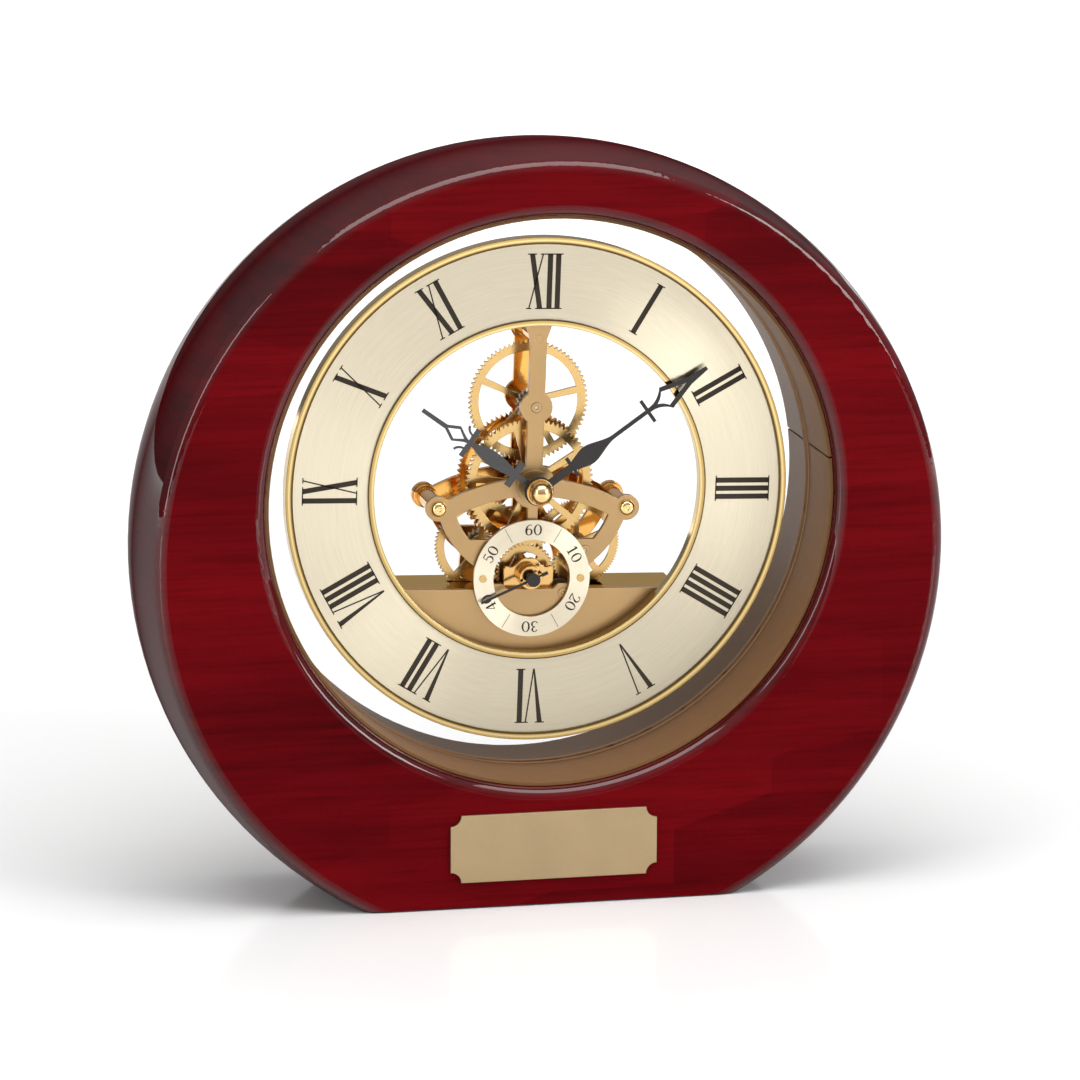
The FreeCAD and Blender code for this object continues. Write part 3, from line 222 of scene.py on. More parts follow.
class Shader:
    """A material's node tree with short calls for the nodes used here."""

    def __init__(self, name):
        self.material = bpy.data.materials.new(name)
        self.material.use_nodes = True
        self.tree = self.material.node_tree
        self.tree.nodes.clear()
        self.output = self.node("ShaderNodeOutputMaterial")
        self.bsdf = self.node("ShaderNodeBsdfPrincipled")
        self.link(self.bsdf, "BSDF", self.output, "Surface")
        self.place = self.node("ShaderNodeTexCoord")

    def node(self, kind, **values):
        return add_node(self.tree, kind, **values)

    def link(self, source, output, target, socket):
        self.tree.links.new(source.outputs[output], target.inputs[socket])

    def drive(self, socket, source, output=0):
        """Link a node's output to a socket of the surface."""
        self.link(source, output, self.bsdf, socket)

    def set(self, **values):
        for key, value in values.items():
            self.bsdf.inputs[key.replace("_", " ")].default_value = value

    def mapped(self, scale, location=(0, 0, 0)):
        mapping = self.node("ShaderNodeMapping")
        mapping.inputs["Scale"].default_value = scale
        mapping.inputs["Location"].default_value = location
        self.link(self.place, "Object", mapping, "Vector")
        return mapping

    def axes(self, output="Object"):
        """The shaded point's X, Y and Z, or its normal's."""
        made = self.node("ShaderNodeSeparateXYZ")
        self.link(self.place, output, made, "Vector")
        return made

    def noise(self, source, output, scale=1.0, detail=3.0, roughness=0.5, distortion=0.0):
        noise = self.node("ShaderNodeTexNoise")
        noise.inputs["Scale"].default_value = scale
        noise.inputs["Detail"].default_value = detail
        noise.inputs["Roughness"].default_value = roughness
        noise.inputs["Distortion"].default_value = distortion
        self.link(source, output, noise, "Vector")
        return noise

    def even_noise(self, scale, detail):
        """Noise of one scale along all three axes."""
        return self.noise(self.mapped((scale, scale, scale)), "Vector", 1.0, detail)

    def ramp(self, source, output, stops):
        ramp = self.node("ShaderNodeValToRGB")
        fill_ramp(ramp, stops)
        self.link(source, output, ramp, "Fac")
        return ramp

    def shades(self, source, colour, dark_share, spread=0.2):
        """A colour that noise darkens down to a share of itself."""
        dark = tuple(channel * dark_share for channel in colour)
        return self.ramp(source, "Fac", ((0.5 - spread, dark), (0.5 + spread, colour)))

    def math(self, operation, first, second=None, third=None):
        made = self.node("ShaderNodeMath", operation=operation)
        for socket, value in enumerate((first, second, third)):
            if value is None:
                continue
            if isinstance(value, tuple):
                self.tree.links.new(value[0].outputs[value[1]], made.inputs[socket])
            else:
                made.inputs[socket].default_value = value
        return made

    def mix(self, mode, factor, first, second):
        made = self.node("ShaderNodeMix", data_type="RGBA", blend_type=mode)
        if isinstance(factor, tuple):
            self.tree.links.new(factor[0].outputs[factor[1]], made.inputs["Factor"])
        else:
            made.inputs["Factor"].default_value = factor
        for socket, value in zip(MIX_INPUTS, (first, second)):
            if isinstance(value[0], (int, float)):
                made.inputs[socket].default_value = (*value, 1.0)
            else:
                self.tree.links.new(value[0].outputs[value[1]], made.inputs[socket])
        return made

    def bump(self, source, output, strength, distance, base=None):
        bump = self.node("ShaderNodeBump")
        bump.inputs["Strength"].default_value = strength
        bump.inputs["Distance"].default_value = distance
        self.link(source, output, bump, "Height")
        if base:
            self.link(base, "Normal", bump, "Normal")
        return bump

    def bevelled(self, radius):
        bevel = self.node("ShaderNodeBevel", samples=4)
        bevel.inputs["Radius"].default_value = radius
        return bevel

    def axis_vector(self, centre):
        """The vector from an axis along Y to the shaded point."""
        away = self.node("ShaderNodeVectorMath", operation="SUBTRACT")
        self.link(self.place, "Object", away, 0)
        away.inputs[1].default_value = centre
        flat = self.node("ShaderNodeVectorMath", operation="MULTIPLY")
        self.link(away, "Vector", flat, 0)
        flat.inputs[1].default_value = (1, 0, 1)
        return flat

    def radius_from(self, centre):
        radius = self.node("ShaderNodeVectorMath", operation="LENGTH")
        self.link(self.axis_vector(centre), "Vector", radius, 0)
        return radius

    def on_sheet(self):
        """1 on the plane where the dial lies on the clear sheet, and 0 elsewhere."""
        return self.math("COMPARE", (self.axes(), "Y"), sheet_front, seat_margin)

    def colour_off_sheet(self, tone):
        """The base colour, but on the face that lies on the clear sheet a black base with one flat
        glowing tone, a painted light.
        """
        seated = self.on_sheet()
        left = self.mix("MIX", (seated, 0), (tone, 0), BLACK)
        self.drive("Base Color", left, MIX_RESULT)
        # Painted light: a flat glow on the face that lies on the sheet
        self.set(Emission_Color=(*seated_painted_light, 1.0))
        self.drive("Emission Strength", seated)


def lacquered_wood():
    """Deep red lacquer over horizontally figured veneer."""
    shader = Shader("rosewood_lacquer")
    clouds = shader.noise(shader.mapped(cloud_scale), "Vector", 1.0, 4.0, 0.55, 0.6)
    streaks = shader.noise(shader.mapped(streak_scale), "Vector", 1.0, 5.0, 0.6, 0.3)
    fine = shader.noise(shader.mapped(pore_scale), "Vector", 1.0, 3.0, 0.6)
    blocks = shader.node("ShaderNodeTexVoronoi", feature="F1", distance="CHEBYCHEV")
    shader.link(shader.mapped(block_scale, block_shift), "Vector", blocks, "Vector")
    blocks.inputs["Scale"].default_value = 1.0
    figure = shader.math("MULTIPLY", (blocks, "Color"), block_weight)
    for layer, weight in ((clouds, cloud_weight), (streaks, streak_weight)):
        figure = shader.math("MULTIPLY_ADD", (layer, "Fac"), weight, (figure, 0))
    tone = shader.ramp(figure, 0, wood_tones)
    pores = shader.ramp(fine, "Fac", pore_tones)
    figured = shader.mix("MULTIPLY", pore_weight, (tone, 0), (pores, 0))
    shader.set(Roughness=0.5, Specular_IOR_Level=0.0, Coat_Roughness=0.035, Coat_IOR=1.5)
    # How far the surface faces forward or back, how far to the side, and where it turns
    facing = shader.math("ABSOLUTE", (shader.axes("Normal"), "Y"))
    square = shader.math("MULTIPLY", (facing, 0), (facing, 0))
    aside = shader.math("SQRT", (shader.math("SUBTRACT", 1.0, (square, 0)), 0))
    rounded = shader.math("MULTIPLY", (facing, 0), (aside, 0))
    # Painted shade: the wood is darkened where its surface faces to the side
    side_shade = shader.math("MULTIPLY", (aside, 0), painted_side_shade_weight)
    colour = shader.mix("MULTIPLY", (side_shade, 0), (figured, MIX_RESULT), painted_side_shade)
    shader.drive("Base Color", colour, MIX_RESULT)
    coat = shader.math("MULTIPLY_ADD", (rounded, 0), coat_on_rounds, coat_on_face)
    shader.drive("Coat Weight", coat)
    waves = shader.even_noise(coat_wave_scale, 2.0)
    soft = shader.bump(waves, "Fac", coat_wave_strength, coat_wave_depth)
    shader.drive("Coat Normal", soft)
    return shader.material


def metal(
    name, colour, roughness, edge=0.0, variation=0.06, scratch=0.0, scale=700.0, tint=WHITE
):
    """Metal of slightly uneven tone and polish; edge is the radius that softens its edges."""
    shader = Shader(name)
    tone = shader.even_noise(tone_scale, 3.0)
    shader.drive("Base Color", shader.shades(tone, colour, 1 - variation * 2))
    polish = shader.even_noise(scale, 2.0)
    spread, least = roughness * polish_spread_share, roughness * polish_least_share
    shader.drive("Roughness", shader.math("MULTIPLY_ADD", (polish, "Fac"), spread, least))
    shader.set(Metallic=1.0, Specular_Tint=(*tint, 1.0))
    normal = shader.bevelled(edge) if edge else None
    if scratch:
        normal = shader.bump(polish, "Fac", scratch, grain_depth, normal)
    if normal:
        shader.drive("Normal", normal)
    return shader.material


def turned_metal(name, colour, centre, roughness, anisotropy, lines, strength):
    """Metal brushed in circles round an axis, so highlights open out as fans."""
    shader = Shader(name)
    away = shader.axis_vector(centre)
    tangent = shader.node("ShaderNodeVectorMath", operation="NORMALIZE")
    shader.link(away, "Vector", tangent, 0)
    shader.drive("Tangent", tangent, "Vector")
    drift = shader.even_noise(brush_drift_scale, 2.0)
    across = shader.math("MULTIPLY", (drift, "Fac"), brush_drift_across)
    rings = shader.math("MULTIPLY_ADD", (shader.radius_from(centre), "Value"), lines, (across, 0))
    along = shader.node("ShaderNodeCombineXYZ")
    shader.link(rings, 0, along, "X")
    shader.link(shader.math("MULTIPLY", (drift, "Fac"), brush_drift_along), 0, along, "Y")
    brush = shader.noise(along, "Vector", 1.0, 4.0, 0.7)
    shader.colour_off_sheet(shader.shades(brush, colour, brush_dark_share, 0.25))
    shader.set(Metallic=1.0, Roughness=roughness, Anisotropic=anisotropy)
    shader.drive("Normal", shader.bump(brush, "Fac", strength, brush_depth))
    return shader.material


def banded_metal(name, roughness, stops):
    """Polished rim of the dial, coloured in bands by radius, one of them a painted highlight.

    The stops are pairs of a radius in millimetres and a colour.
    """
    shader = Shader(name)
    first, last = stops[0][0], stops[-1][0]
    width = last - first
    radius = shader.radius_from(dial_centre)
    share = shader.math("MULTIPLY_ADD", (radius, "Value"), 1 / (width * MM), -first / width)
    grain = shader.even_noise(band_grain_scale, 2.0)
    jitter = shader.math("MULTIPLY_ADD", (grain, "Fac"), band_grain_share, (share, 0))
    bands = tuple(((radius_mm - first) / width, colour) for radius_mm, colour in stops)
    shader.colour_off_sheet(shader.ramp(jitter, 0, bands))
    shader.set(Metallic=1.0, Roughness=roughness)
    shader.drive("Normal", shader.bevelled(band_edge))
    return shader.material


def plain(name, colour, roughness, grain=900.0, depth=0.2, variation=0.12, **values):
    """A non-metal with a fine uneven surface."""
    shader = Shader(name)
    speck = shader.even_noise(grain, 3.0)
    shader.drive("Base Color", shader.shades(speck, colour, 1 - variation))
    shader.set(Roughness=roughness, **values)
    shader.drive("Normal", shader.bump(speck, "Fac", depth, grain_depth))
    return shader.material


def clear_sheet():
    """Clear acrylic sheet with a matt edge where it sits in the lining; the edge glows as painted
    light.
    """
    shader = Shader("clear_acrylic")
    shader.set(IOR=sheet_index)
    radius = shader.radius_from(dial_centre)
    haze = shader.even_noise(haze_scale, 2.0)
    faint = shader.math("MULTIPLY", (haze, "Fac"), haze_cover)
    edge = shader.math("GREATER_THAN", (radius, "Value"), bore_radius - edge_band)
    matt = shader.math("MULTIPLY", (edge, 0), edge_cover)
    tone = shader.mix("MIX", (edge, 0), sheet_tint, lining_colour)
    # The dial lies flat on the sheet; there both faces show the same flat tone, painted as a glow
    covered = shader.math("LESS_THAN", (radius, "Value"), bezel_out * MM)
    backed = shader.math("MULTIPLY", (shader.on_sheet(), 0), (covered, 0))
    cover = shader.math("MAXIMUM", (faint, 0), (matt, 0))
    shader.drive("Alpha", shader.math("MAXIMUM", (cover, 0), (backed, 0)))
    tone = shader.mix("MIX", (backed, 0), (tone, MIX_RESULT), BLACK)
    shader.drive("Base Color", tone, MIX_RESULT)
    shader.drive("Metallic", backed)
    change = seated_roughness - sheet_roughness
    polish = shader.math("MULTIPLY_ADD", (backed, 0), change, sheet_roughness)
    shader.drive("Roughness", polish)
    # Painted light: the sheet's matt edge glows, and where the dial lies on it the flat tone glows
    # too
    light = shader.mix("MIX", (backed, 0), painted_edge_light, seated_painted_light)
    shader.drive("Emission Color", light, MIX_RESULT)
    bright = shader.math("MULTIPLY", (edge, 0), painted_edge_strength)
    shader.drive("Emission Strength", shader.math("MAXIMUM", (bright, 0), (backed, 0)))
    return shader.material


def pillar_finish():
    """Amber pillar whose riveted end is rubbed down with the plate that it is flush with."""
    shader = Shader("pillar_amber")
    behind = shader.math("GREATER_THAN", (shader.axes(), "Y"), plate_surface + pillar_end_margin)
    tone = shader.even_noise(tone_scale, 3.0)
    shade = shader.shades(tone, amber, pillar_dark_share)
    both = shader.mix("MIX", (behind, 0), satin, (shade, 0))
    shader.drive("Base Color", both, MIX_RESULT)
    change = pillar_roughness - pillar_end_roughness
    polish = shader.math("MULTIPLY_ADD", (behind, 0), change, pillar_end_roughness)
    shader.drive("Roughness", polish)
    shader.set(Metallic=1.0)
    return shader.material


# Colours shared by several materials
gold = (0.65, 0.43, 0.175)
amber = (0.78, 0.42, 0.11)
satin = (0.47, 0.305, 0.145)
lining_colour = (0.172, 0.086, 0.035)
rim_dark = (0.10, 0.06, 0.02)
rim_mid = (0.46, 0.31, 0.11)
# Painted highlight band of the dial's rims
rim_painted_highlight = (0.72, 0.57, 0.28)

# Wood, cloth, lining and clear sheet
wood = lacquered_wood()
felt = plain("felt", (0.02, 0.02, 0.02), 0.95, 2500.0, 0.9, 0.5, Sheen_Weight=0.6)
bore_lining = plain(
    "bore_lining", lining_colour, 0.5, 300.0, 0.1, 0.08, Specular_IOR_Level=0.08
)
rear_lining = plain(
    "rear_lining", (0.205, 0.122, 0.068), 0.42, 300.0, 0.1, 0.08, Specular_IOR_Level=0.12
)
clear = clear_sheet()

# Dials and their rims
champagne = turned_metal(
    "champagne_dial", (0.695, 0.62, 0.47), dial_centre,
    roughness=0.28, anisotropy=0.90, lines=2600.0, strength=0.30,
)
champagne_small = turned_metal(
    "champagne_seconds", (0.84, 0.75, 0.58), seconds_centre,
    roughness=0.32, anisotropy=0.85, lines=4200.0, strength=0.25,
)
# Gold rims with a painted highlight band and a darker band at the edge next to the dial
bezel_gold = banded_metal("bezel_gold", 0.12, (
    (bezel_out - 1.7, rim_dark), (bezel_out - 1.35, rim_dark), (bezel_out - 1.15, rim_mid),
    (bezel_out - 0.75, rim_painted_highlight), (bezel_out - 0.45, rim_mid), (bezel_out, rim_mid),
))
rim_gold = banded_metal("rim_gold", 0.12, (
    (rim_out - 1.6, rim_mid), (rim_out - 1.1, rim_painted_highlight), (rim_out - 0.65, rim_mid),
    (rim_out - 0.35, rim_mid), (rim_out - 0.2, rim_dark), (rim_out, rim_dark),
))

# Metals: colour, roughness, edge radius, variation of tone, scratches and their scale
plaque = metal("bronze_plate", (0.47, 0.35, 0.20), 0.42, 0.2 * MM, 0.05, 0.15, 1600.0)
wheel_gold = metal("wheel_gold", gold, 0.20, 0.18 * MM, 0.06, 0.1)
plate_gold = metal("plate_gold", satin, 0.34, 0.3 * MM, 0.04, 0.2, 2200.0)
mirror_amber = metal("mirror_amber", amber, 0.12, 0.2 * MM, 0.05)
ball_gold = metal("ball_gold", (0.84, 0.60, 0.27), 0.09, 0.2 * MM, 0.03)
nut_gold = metal("nut_gold", (0.80, 0.56, 0.25), 0.20, 0.0, 0.03)
housing_gold = metal(
    "housing_gold", (0.74, 0.45, 0.17), 0.14, 0.2 * MM, 0.05, tint=(0.95, 0.82, 0.55)
)
pillar_amber = pillar_finish()
steel_grey = metal("steel_grey", (0.55, 0.52, 0.47), 0.30, 0.1 * MM, 0.05, 0.1)
copper = metal("copper_wire", (0.80, 0.42, 0.22), 0.30, 0.0, 0.1, 0.6, 3000.0)

# Paints and plastics: colour, roughness, grain, its depth and variation of tone
black = plain(
    "hand_black", (0.024, 0.021, 0.020), 0.5, 1200.0, 0.15, 0.2, Specular_IOR_Level=0.3
)
hour_black = plain("hour_hand_black", (0.045, 0.043, 0.044), 0.42, 1200.0, 0.15, 0.2)
ink = plain("ink", (0.036, 0.026, 0.018), 0.6, 3000.0, 0.1, 0.15, Specular_IOR_Level=0.2)
jacket = plain("cell_jacket", (0.10, 0.10, 0.11), 0.35)
board = plain("circuit_board", (0.02, 0.11, 0.05), 0.5)
magnet = plain("magnet", (0.05, 0.05, 0.055), 0.5, Metallic=0.6)

dressing = {
    wood: ["case_body"],
    felt: ["felt_strips"],
    bore_lining: ["liner_front"],
    rear_lining: ["liner_rear"],
    clear: ["clear_disc"],
    plaque: ["name_plaque"],
    bezel_gold: ["dial_bezel"],
    rim_gold: ["inner_rim"],
    champagne: ["dial_ring"],
    champagne_small: ["seconds_dial"],
    plate_gold: ["front_plate", "clamp_ring", "hub_bush", "front_pivot_bushes"],
    mirror_amber: ["rear_plate", "pillar_left", "pillar_right", "centre_wheel",
                   "rear_pivot_bushes"],
    pillar_amber: ["pillar_top"],
    housing_gold: ["base_housing", "battery_door", "seconds_bridge"],
    wheel_gold: ["hour_wheel", "hour_pipe", "motion_wheel", "third_wheel", "seconds_wheel",
                 "fast_wheel", "idler_gear", "cannon_pinion", "rotor_pinion",
                 "seconds_dial_rivets"],
    nut_gold: ["cap_nut"],
    ball_gold: ["front_pillar_screws", "rear_pillar_screws", "setting_knob", "leg_screws"],
    steel_grey: ["clamp_screws", "plate_screws", "idler_stud", "battery_contacts",
                 "motor_stator", "centre_arbor", "motion_arbor", "third_arbor",
                 "seconds_arbor", "fast_arbor"],
    black: ["minute_hand", "seconds_hand"],
    hour_black: ["hour_hand"],
    jacket: ["battery"],
    board: ["circuit_board"],
    copper: ["motor_coil"],
    magnet: ["rotor_magnet"],
}
for material, names in dressing.items():
    for name in names:
        slots = nodes[name].data.materials
        slots.clear()
        slots.append(material)


def smooth_nodes(limit_deg=32.0):
    """Smooth shading, with each edge of a greater angle left sharp."""
    limit = math.radians(limit_deg)
    for node in nodes.values():
        mesh = node.data
        mesh.shade_smooth()
        work = bmesh.new()
        work.from_mesh(mesh)
        for edge in work.edges:
            edge.smooth = len(edge.link_faces) == 2 and edge.calc_face_angle(math.pi) < limit
        work.to_mesh(mesh)
        work.free()


def new_object(name, data):
    made = bpy.data.objects.new(name, data)
    bpy.context.scene.collection.objects.link(made)
    return made


def mesh_object(name, work, material):
    """An object of a finished bmesh, with its faces turned outward."""
    bmesh.ops.recalc_face_normals(work, faces=work.faces)
    data = bpy.data.meshes.new(name)
    work.to_mesh(data)
    work.free()
    data.materials.append(material)
    return new_object(name, data)


def prism(work, low, high):
    """Closed mesh between two loops of as many points."""
    low = [work.verts.new(point) for point in low]
    high = [work.verts.new(point) for point in high]
    work.faces.new(high)
    work.faces.new(list(reversed(low)))
    for index in range(len(low)):
        after = (index + 1) % len(low)
        work.faces.new((low[index], low[after], high[after], high[index]))


def framed(x_axis, y_axis, z_axis, place):
    """The matrix that has these axes and this place as its columns."""
    matrix = Matrix.Identity(4)
    for column, vector in zip(matrix.col, (x_axis, y_axis, z_axis, place)):
        column[:3] = vector
    return matrix


# Printed marks: flat outlines on a dial, given a paint film's thickness
def dial_matrix(centre, surface, bearing, radius):
    """From a mark's own plane (x right, y up and outward) to its place on a dial."""
    angle = bearing + dial_turn
    outward = Vector((math.sin(angle), 0, math.cos(angle)))
    clockwise = Vector((math.cos(angle), 0, -math.sin(angle)))
    place = Vector((centre.x, surface, centre.z)) + outward * radius * MM
    return framed(clockwise * MM, outward * MM, Vector((0, -MM, 0)), place)


class Print:
    """Collects a dial's printed outlines into one thin mesh."""

    def __init__(self, centre, surface):
        self.centre = centre
        self.surface = surface
        self.mesh = bmesh.new()

    def outline(self, points, bearing, radius):
        """One convex outline, in millimetres in the mark's own plane."""
        matrix = dial_matrix(self.centre, self.surface, bearing, radius)
        low = [matrix @ Vector((x, y, ink_gap)) for x, y in points]
        high = [matrix @ Vector((x, y, ink_thickness)) for x, y in points]
        prism(self.mesh, low, high)

    def finish(self, name):
        made = mesh_object(name, self.mesh, ink)
        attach(made, FIXED)


# Roman numerals: each letter's convex outlines, in millimetres round its own middle
def slanted(top_x, bottom_x, width):
    half_height = numeral_height / 2
    half = width / 2
    return [
        (bottom_x - half, -half_height), (bottom_x + half, -half_height),
        (top_x + half, half_height), (top_x - half, half_height),
    ]


def serif(centre_x, width, top):
    reach = width / 2 + serif_reach
    edge = numeral_height / 2
    inner = edge - serif_height
    low, high = (inner, edge) if top else (-edge, -inner)
    left, right = centre_x - reach, centre_x + reach
    return [(left, low), (right, low), (right, high), (left, high)]


def letter_i(x):
    return [
        slanted(x, x, stem_width), serif(x, stem_width, True), serif(x, stem_width, False),
    ]


def letter_v(x):
    apex = numeral_height / 2
    thick = slanted(x - v_lean, x, stem_width)
    thick[0] = (x - hairline / 2, -apex)
    thick[1] = (x + hairline / 2, -apex)
    thin = slanted(x + v_lean, x + hairline / 4, hairline)
    return [thick, thin, serif(x - v_lean, stem_width, True), serif(x + v_lean, hairline, True)]


def letter_x(x):
    return [
        slanted(x - x_thick_lean, x + x_thick_lean, stem_width),
        slanted(x + x_thin_lean, x - x_thin_lean, hairline),
        serif(x - x_thick_lean, stem_width, True),
        serif(x + x_thick_lean, stem_width, False),
        serif(x + x_thin_lean, hairline, True),
        serif(x - x_thin_lean, hairline, False),
    ]


letters = {"I": letter_i, "V": letter_v, "X": letter_x}
half_pitches = {"I": stem_pitch / 2, "V": v_offset - stem_pitch / 2, "X": x_offset - stem_pitch / 2}


def roman(text):
    """A numeral's outlines, centred on its own middle."""
    places = [0.0]
    for first, second in zip(text, text[1:]):
        places.append(places[-1] + (half_pitches[first] + half_pitches[second]))
    shapes = [shape for letter, place in zip(text, places) for shape in letters[letter](place)]
    xs = [x for shape in shapes for x, _ in shape]
    middle = (min(xs) + max(xs)) / 2
    return [[(x - middle, y) for x, y in shape] for shape in shapes]


hours = ("XII", "I", "II", "III", "IIII", "V", "VI", "VII", "VIII", "IX", "X", "XI")


def hour_numerals():
    printed = Print(dial_centre, dial_surface)
    for index, text in enumerate(hours):
        for shape in roman(text):
            printed.outline(shape, math.radians(30 * index), numeral_radius)
    printed.finish("hour_numerals")


# Arabic figures for the seconds dial: strokes of (x, y, width) in a box one unit high, or
# a ring's middle and half sizes
THICK = 0.17
THIN = 0.065
FIGURES = {
    "0": [("ring", 0.0, 0.5, 0.30, 0.47)],
    "1": [
        [(0.03, 0.0, THICK), (0.03, 1.0, THICK)],
        [(-0.20, 0.80, THIN), (0.0, 0.96, THIN * 1.6)],
        [(-0.20, 0.02, THIN), (0.26, 0.02, THIN)],
    ],
    "2": [
        [(-0.25, 0.74, THICK), (-0.20, 0.90, THIN), (0.02, 0.97, THIN), (0.22, 0.85, THICK * 0.8),
         (0.24, 0.66, THICK), (0.08, 0.40, THICK * 0.6), (-0.14, 0.18, THIN), (-0.28, 0.04, THIN)],
        [(-0.29, 0.05, THICK * 0.6), (0.28, 0.05, THICK * 0.6)],
        [(0.28, 0.02, THIN), (0.31, 0.22, THIN)],
    ],
    "3": [
        [(-0.24, 0.80, THICK * 0.7), (-0.08, 0.96, THIN), (0.10, 0.94, THICK * 0.6),
         (0.20, 0.77, THICK), (0.12, 0.60, THICK * 0.5), (-0.06, 0.53, THIN)],
        [(-0.06, 0.53, THIN), (0.16, 0.47, THICK * 0.6), (0.25, 0.27, THICK),
         (0.14, 0.07, THICK * 0.6), (-0.08, 0.03, THIN), (-0.26, 0.16, THICK * 0.7)],
    ],
    "4": [
        [(0.12, 0.98, THIN), (-0.30, 0.30, THIN)],
        [(-0.32, 0.29, THIN), (0.32, 0.29, THIN)],
        [(0.13, 0.0, THICK), (0.13, 0.98, THICK)],
        [(-0.04, 0.02, THIN), (0.30, 0.02, THIN)],
    ],
    "5": [
        [(-0.19, 0.94, THICK * 0.6), (0.24, 0.94, THICK * 0.6)],
        [(-0.18, 0.95, THIN), (-0.22, 0.53, THIN)],
        [(-0.22, 0.53, THIN), (-0.02, 0.61, THICK * 0.5), (0.18, 0.50, THICK * 0.8),
         (0.25, 0.30, THICK), (0.15, 0.09, THICK * 0.6), (-0.06, 0.03, THIN),
         (-0.26, 0.15, THICK * 0.7)],
    ],
    "6": [
        [(0.22, 0.90, THICK * 0.6), (0.06, 0.97, THIN), (-0.12, 0.84, THICK * 0.6),
         (-0.24, 0.60, THICK), (-0.26, 0.32, THICK)],
        ("ring", 0.0, 0.31, 0.25, 0.28),
    ],
}


def spline(p, q, r, s, t):
    """The value at share t of the way from q to r, on a smooth run through all four."""
    bend = 2 * p - 5 * q + 4 * r - s
    twist = 3 * q - p - 3 * r + s
    return 0.5 * (2 * q + (r - p) * t + bend * t**2 + twist * t**3)


def spline_points(points, steps=6):
    """A smooth run through (x, y, width) points."""
    run = [points[0], *points, points[-1]]
    made = []
    for four in zip(run, run[1:], run[2:], run[3:]):
        for step in range(steps):
            made.append(tuple(spline(*values, step / steps) for values in zip(*four)))
    return [*made, points[-1]]


def ribbon(points):
    """Quads along a run of (x, y, width) points."""
    sides = []
    for index, (x, y, width) in enumerate(points):
        before = points[max(index - 1, 0)]
        after = points[min(index + 1, len(points) - 1)]
        dx, dy = after[0] - before[0], after[1] - before[1]
        size = math.hypot(dx, dy) or 1.0
        nx, ny = -dy / size * width / 2, dx / size * width / 2
        sides.append(((x + nx, y + ny), (x - nx, y - ny)))
    return [[a[0], a[1], b[1], b[0]] for a, b in zip(sides, sides[1:])]


def ring_points(x, y, half_width, half_height, count=28):
    """A figure's round, thick at its sides and thin above and below."""
    made = []
    for index in range(count + 1):
        angle = 2 * math.pi * index / count
        width = THIN + (THICK - THIN) * abs(math.cos(angle)) ** 1.5
        made.append((x + half_width * math.cos(angle), y + half_height * math.sin(angle), width))
    return made


def figure_shapes(character):
    shapes = []
    for stroke in FIGURES[character]:
        if stroke[0] == "ring":
            points = ring_points(*stroke[1:])
        elif len(stroke) > 2:
            points = spline_points(stroke)
        else:
            points = stroke
        shapes += ribbon(points)
    return shapes


def seconds_figures():
    printed = Print(seconds_centre, seconds_surface)
    for index, text in enumerate(("60", "10", "20", "30", "40", "50")):
        for place, character in zip((-0.5, 0.5), text):
            middle = place * seconds_digit_pitch
            for shape in figure_shapes(character):
                sized = [
                    (middle + x * seconds_digit_height, (y - 0.5) * seconds_digit_height)
                    for x, y in shape
                ]
                printed.outline(sized, math.radians(60 * index), seconds_numeral_radius)
    half = seconds_tick_width / 2
    tick = [
        (-half, seconds_tick_inner), (half, seconds_tick_inner),
        (half, seconds_tick_outer), (-half, seconds_tick_outer),
    ]
    for bearing in (30, 150, 210, 330):
        printed.outline(tick, math.radians(bearing), 0.0)
    printed.finish("seconds_figures")


def nut_knurl():
    """Fine ridges round the cap nut's collar."""
    low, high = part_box("cap_nut")
    outer = (high.x - low.x) / 2
    front = high.y - collar_height * MM
    loops = []
    for y in (high.y, front - knurl_lead * MM):
        loop = []
        for index in range(knurl_ridges * 2):
            angle = math.pi * index / knurl_ridges
            radius = outer + (knurl_height * MM if index % 2 else 0.0)
            away = Vector((math.cos(angle), 0, math.sin(angle))) * radius
            loop.append(Vector((dial_centre.x, y, dial_centre.z)) + away)
        loops.append(loop)
    work = bmesh.new()
    prism(work, *loops)
    made = mesh_object("nut_knurl", work, nut_gold)
    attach(made, "centre_train")


smooth_nodes()
hour_numerals()
seconds_figures()
nut_knurl()


# Stage: floor, world, lamps and camera
def add_floor():
    data = bpy.data.meshes.new("floor")
    corners = [(x * floor_half, y * floor_half, 0) for x, y in ((-1, -1), (1, -1), (1, 1), (-1, 1))]
    data.from_pydata(corners, [], [(0, 1, 2, 3)])
    made = new_object("floor", data)
    shader = Shader("floor_white")
    shader.set(Base_Color=(*floor_tone, 1.0), Roughness=floor_roughness)
    shader.set(Specular_IOR_Level=floor_specular, Emission_Color=(*WHITE, 1.0))
    path = shader.node("ShaderNodeLightPath")
    direct = shader.math("MAXIMUM", (path, "Is Camera Ray"), (path, "Is Transmission Ray"))
    seen = shader.math("MAXIMUM", (direct, 0), (path, "Is Glossy Ray"))
    far = shader.node("ShaderNodeVectorMath", operation="LENGTH")
    shader.link(shader.place, "Object", far, 0)
    past = shader.math("SUBTRACT", (far, "Value"), floor_lift_start)
    rise = shader.math("MULTIPLY", (shader.math("MAXIMUM", (past, 0), 0.0), 0), floor_lift)
    shader.drive("Emission Strength", shader.math("MULTIPLY", (seen, 0), (rise, 0)))
    data.materials.append(shader.material)


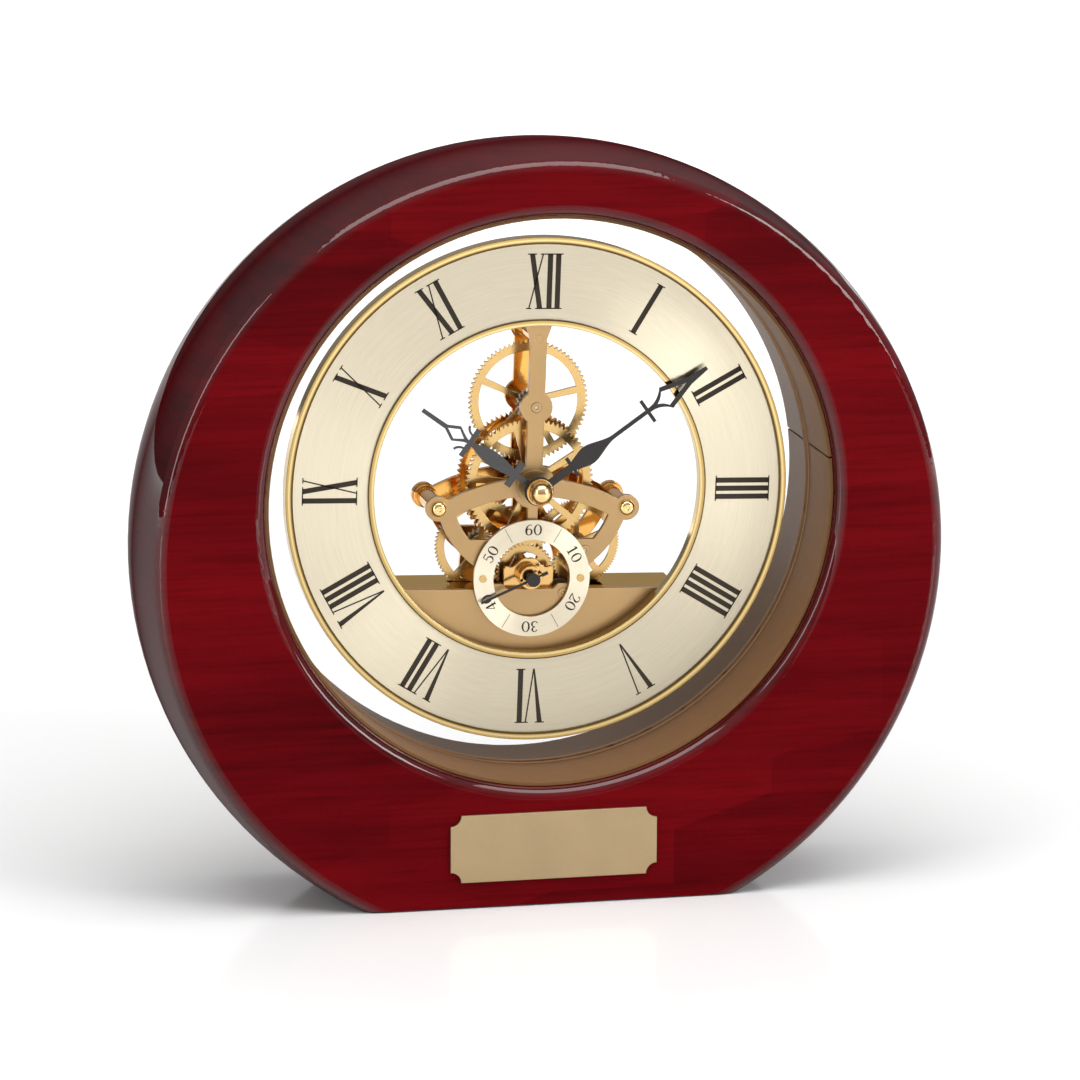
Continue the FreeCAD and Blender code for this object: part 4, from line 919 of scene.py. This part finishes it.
def add_world():
    world = bpy.data.worlds.new("studio")
    bpy.context.scene.world = world
    world.use_nodes = True
    tree = world.node_tree
    tree.nodes.clear()
    place = add_node(tree, "ShaderNodeTexCoord")
    split = add_node(tree, "ShaderNodeSeparateXYZ")
    tree.links.new(place.outputs["Generated"], split.inputs[0])
    # Height runs from -1 to 1, and the ramp from 0 to 1
    height = add_node(tree, "ShaderNodeMath", operation="MULTIPLY_ADD")
    height.inputs[1].default_value = 0.5
    height.inputs[2].default_value = 0.5
    tree.links.new(split.outputs["Z"], height.inputs[0])
    ramp = add_node(tree, "ShaderNodeValToRGB")
    fill_ramp(ramp, tuple((position, (level,) * 3) for position, level in sky_levels))
    tree.links.new(height.outputs[0], ramp.inputs["Fac"])
    studio = add_node(tree, "ShaderNodeBackground")
    studio.inputs["Strength"].default_value = sky_strength
    tree.links.new(ramp.outputs["Color"], studio.inputs["Color"])
    output = add_node(tree, "ShaderNodeOutputWorld")
    tree.links.new(studio.outputs[0], output.inputs["Surface"])


def add_lamp(name, place, size, power):
    data = bpy.data.lights.new(name, "AREA")
    data.shape = "RECTANGLE"
    data.size, data.size_y = size
    data.energy = power
    made = new_object(name, data)
    made.location = place
    aim = Vector(lit_point) - Vector(place)
    made.rotation_euler = aim.to_track_quat("-Z", "Y").to_euler()


def add_camera():
    ahead = -Vector((
        math.sin(camera_azimuth) * math.cos(camera_elevation),
        -math.cos(camera_azimuth) * math.cos(camera_elevation),
        math.sin(camera_elevation),
    ))
    right = ahead.cross(Vector((0, 0, 1))).normalized()
    up = right.cross(ahead)
    right, up = (
        right * math.cos(camera_roll) + up * math.sin(camera_roll),
        up * math.cos(camera_roll) - right * math.sin(camera_roll),
    )
    data = bpy.data.cameras.new("camera")
    data.lens = camera_lens
    data.sensor_width = sensor_width
    data.clip_end = camera_reach
    made = new_object("camera", data)
    made.matrix_world = framed(right, up, -ahead, camera_target - ahead * camera_distance)
    bpy.context.scene.camera = made


add_floor()
add_world()
for softbox in softboxes:
    add_lamp(*softbox)
add_camera()
bpy.context.scene.view_settings.view_transform = "Standard"
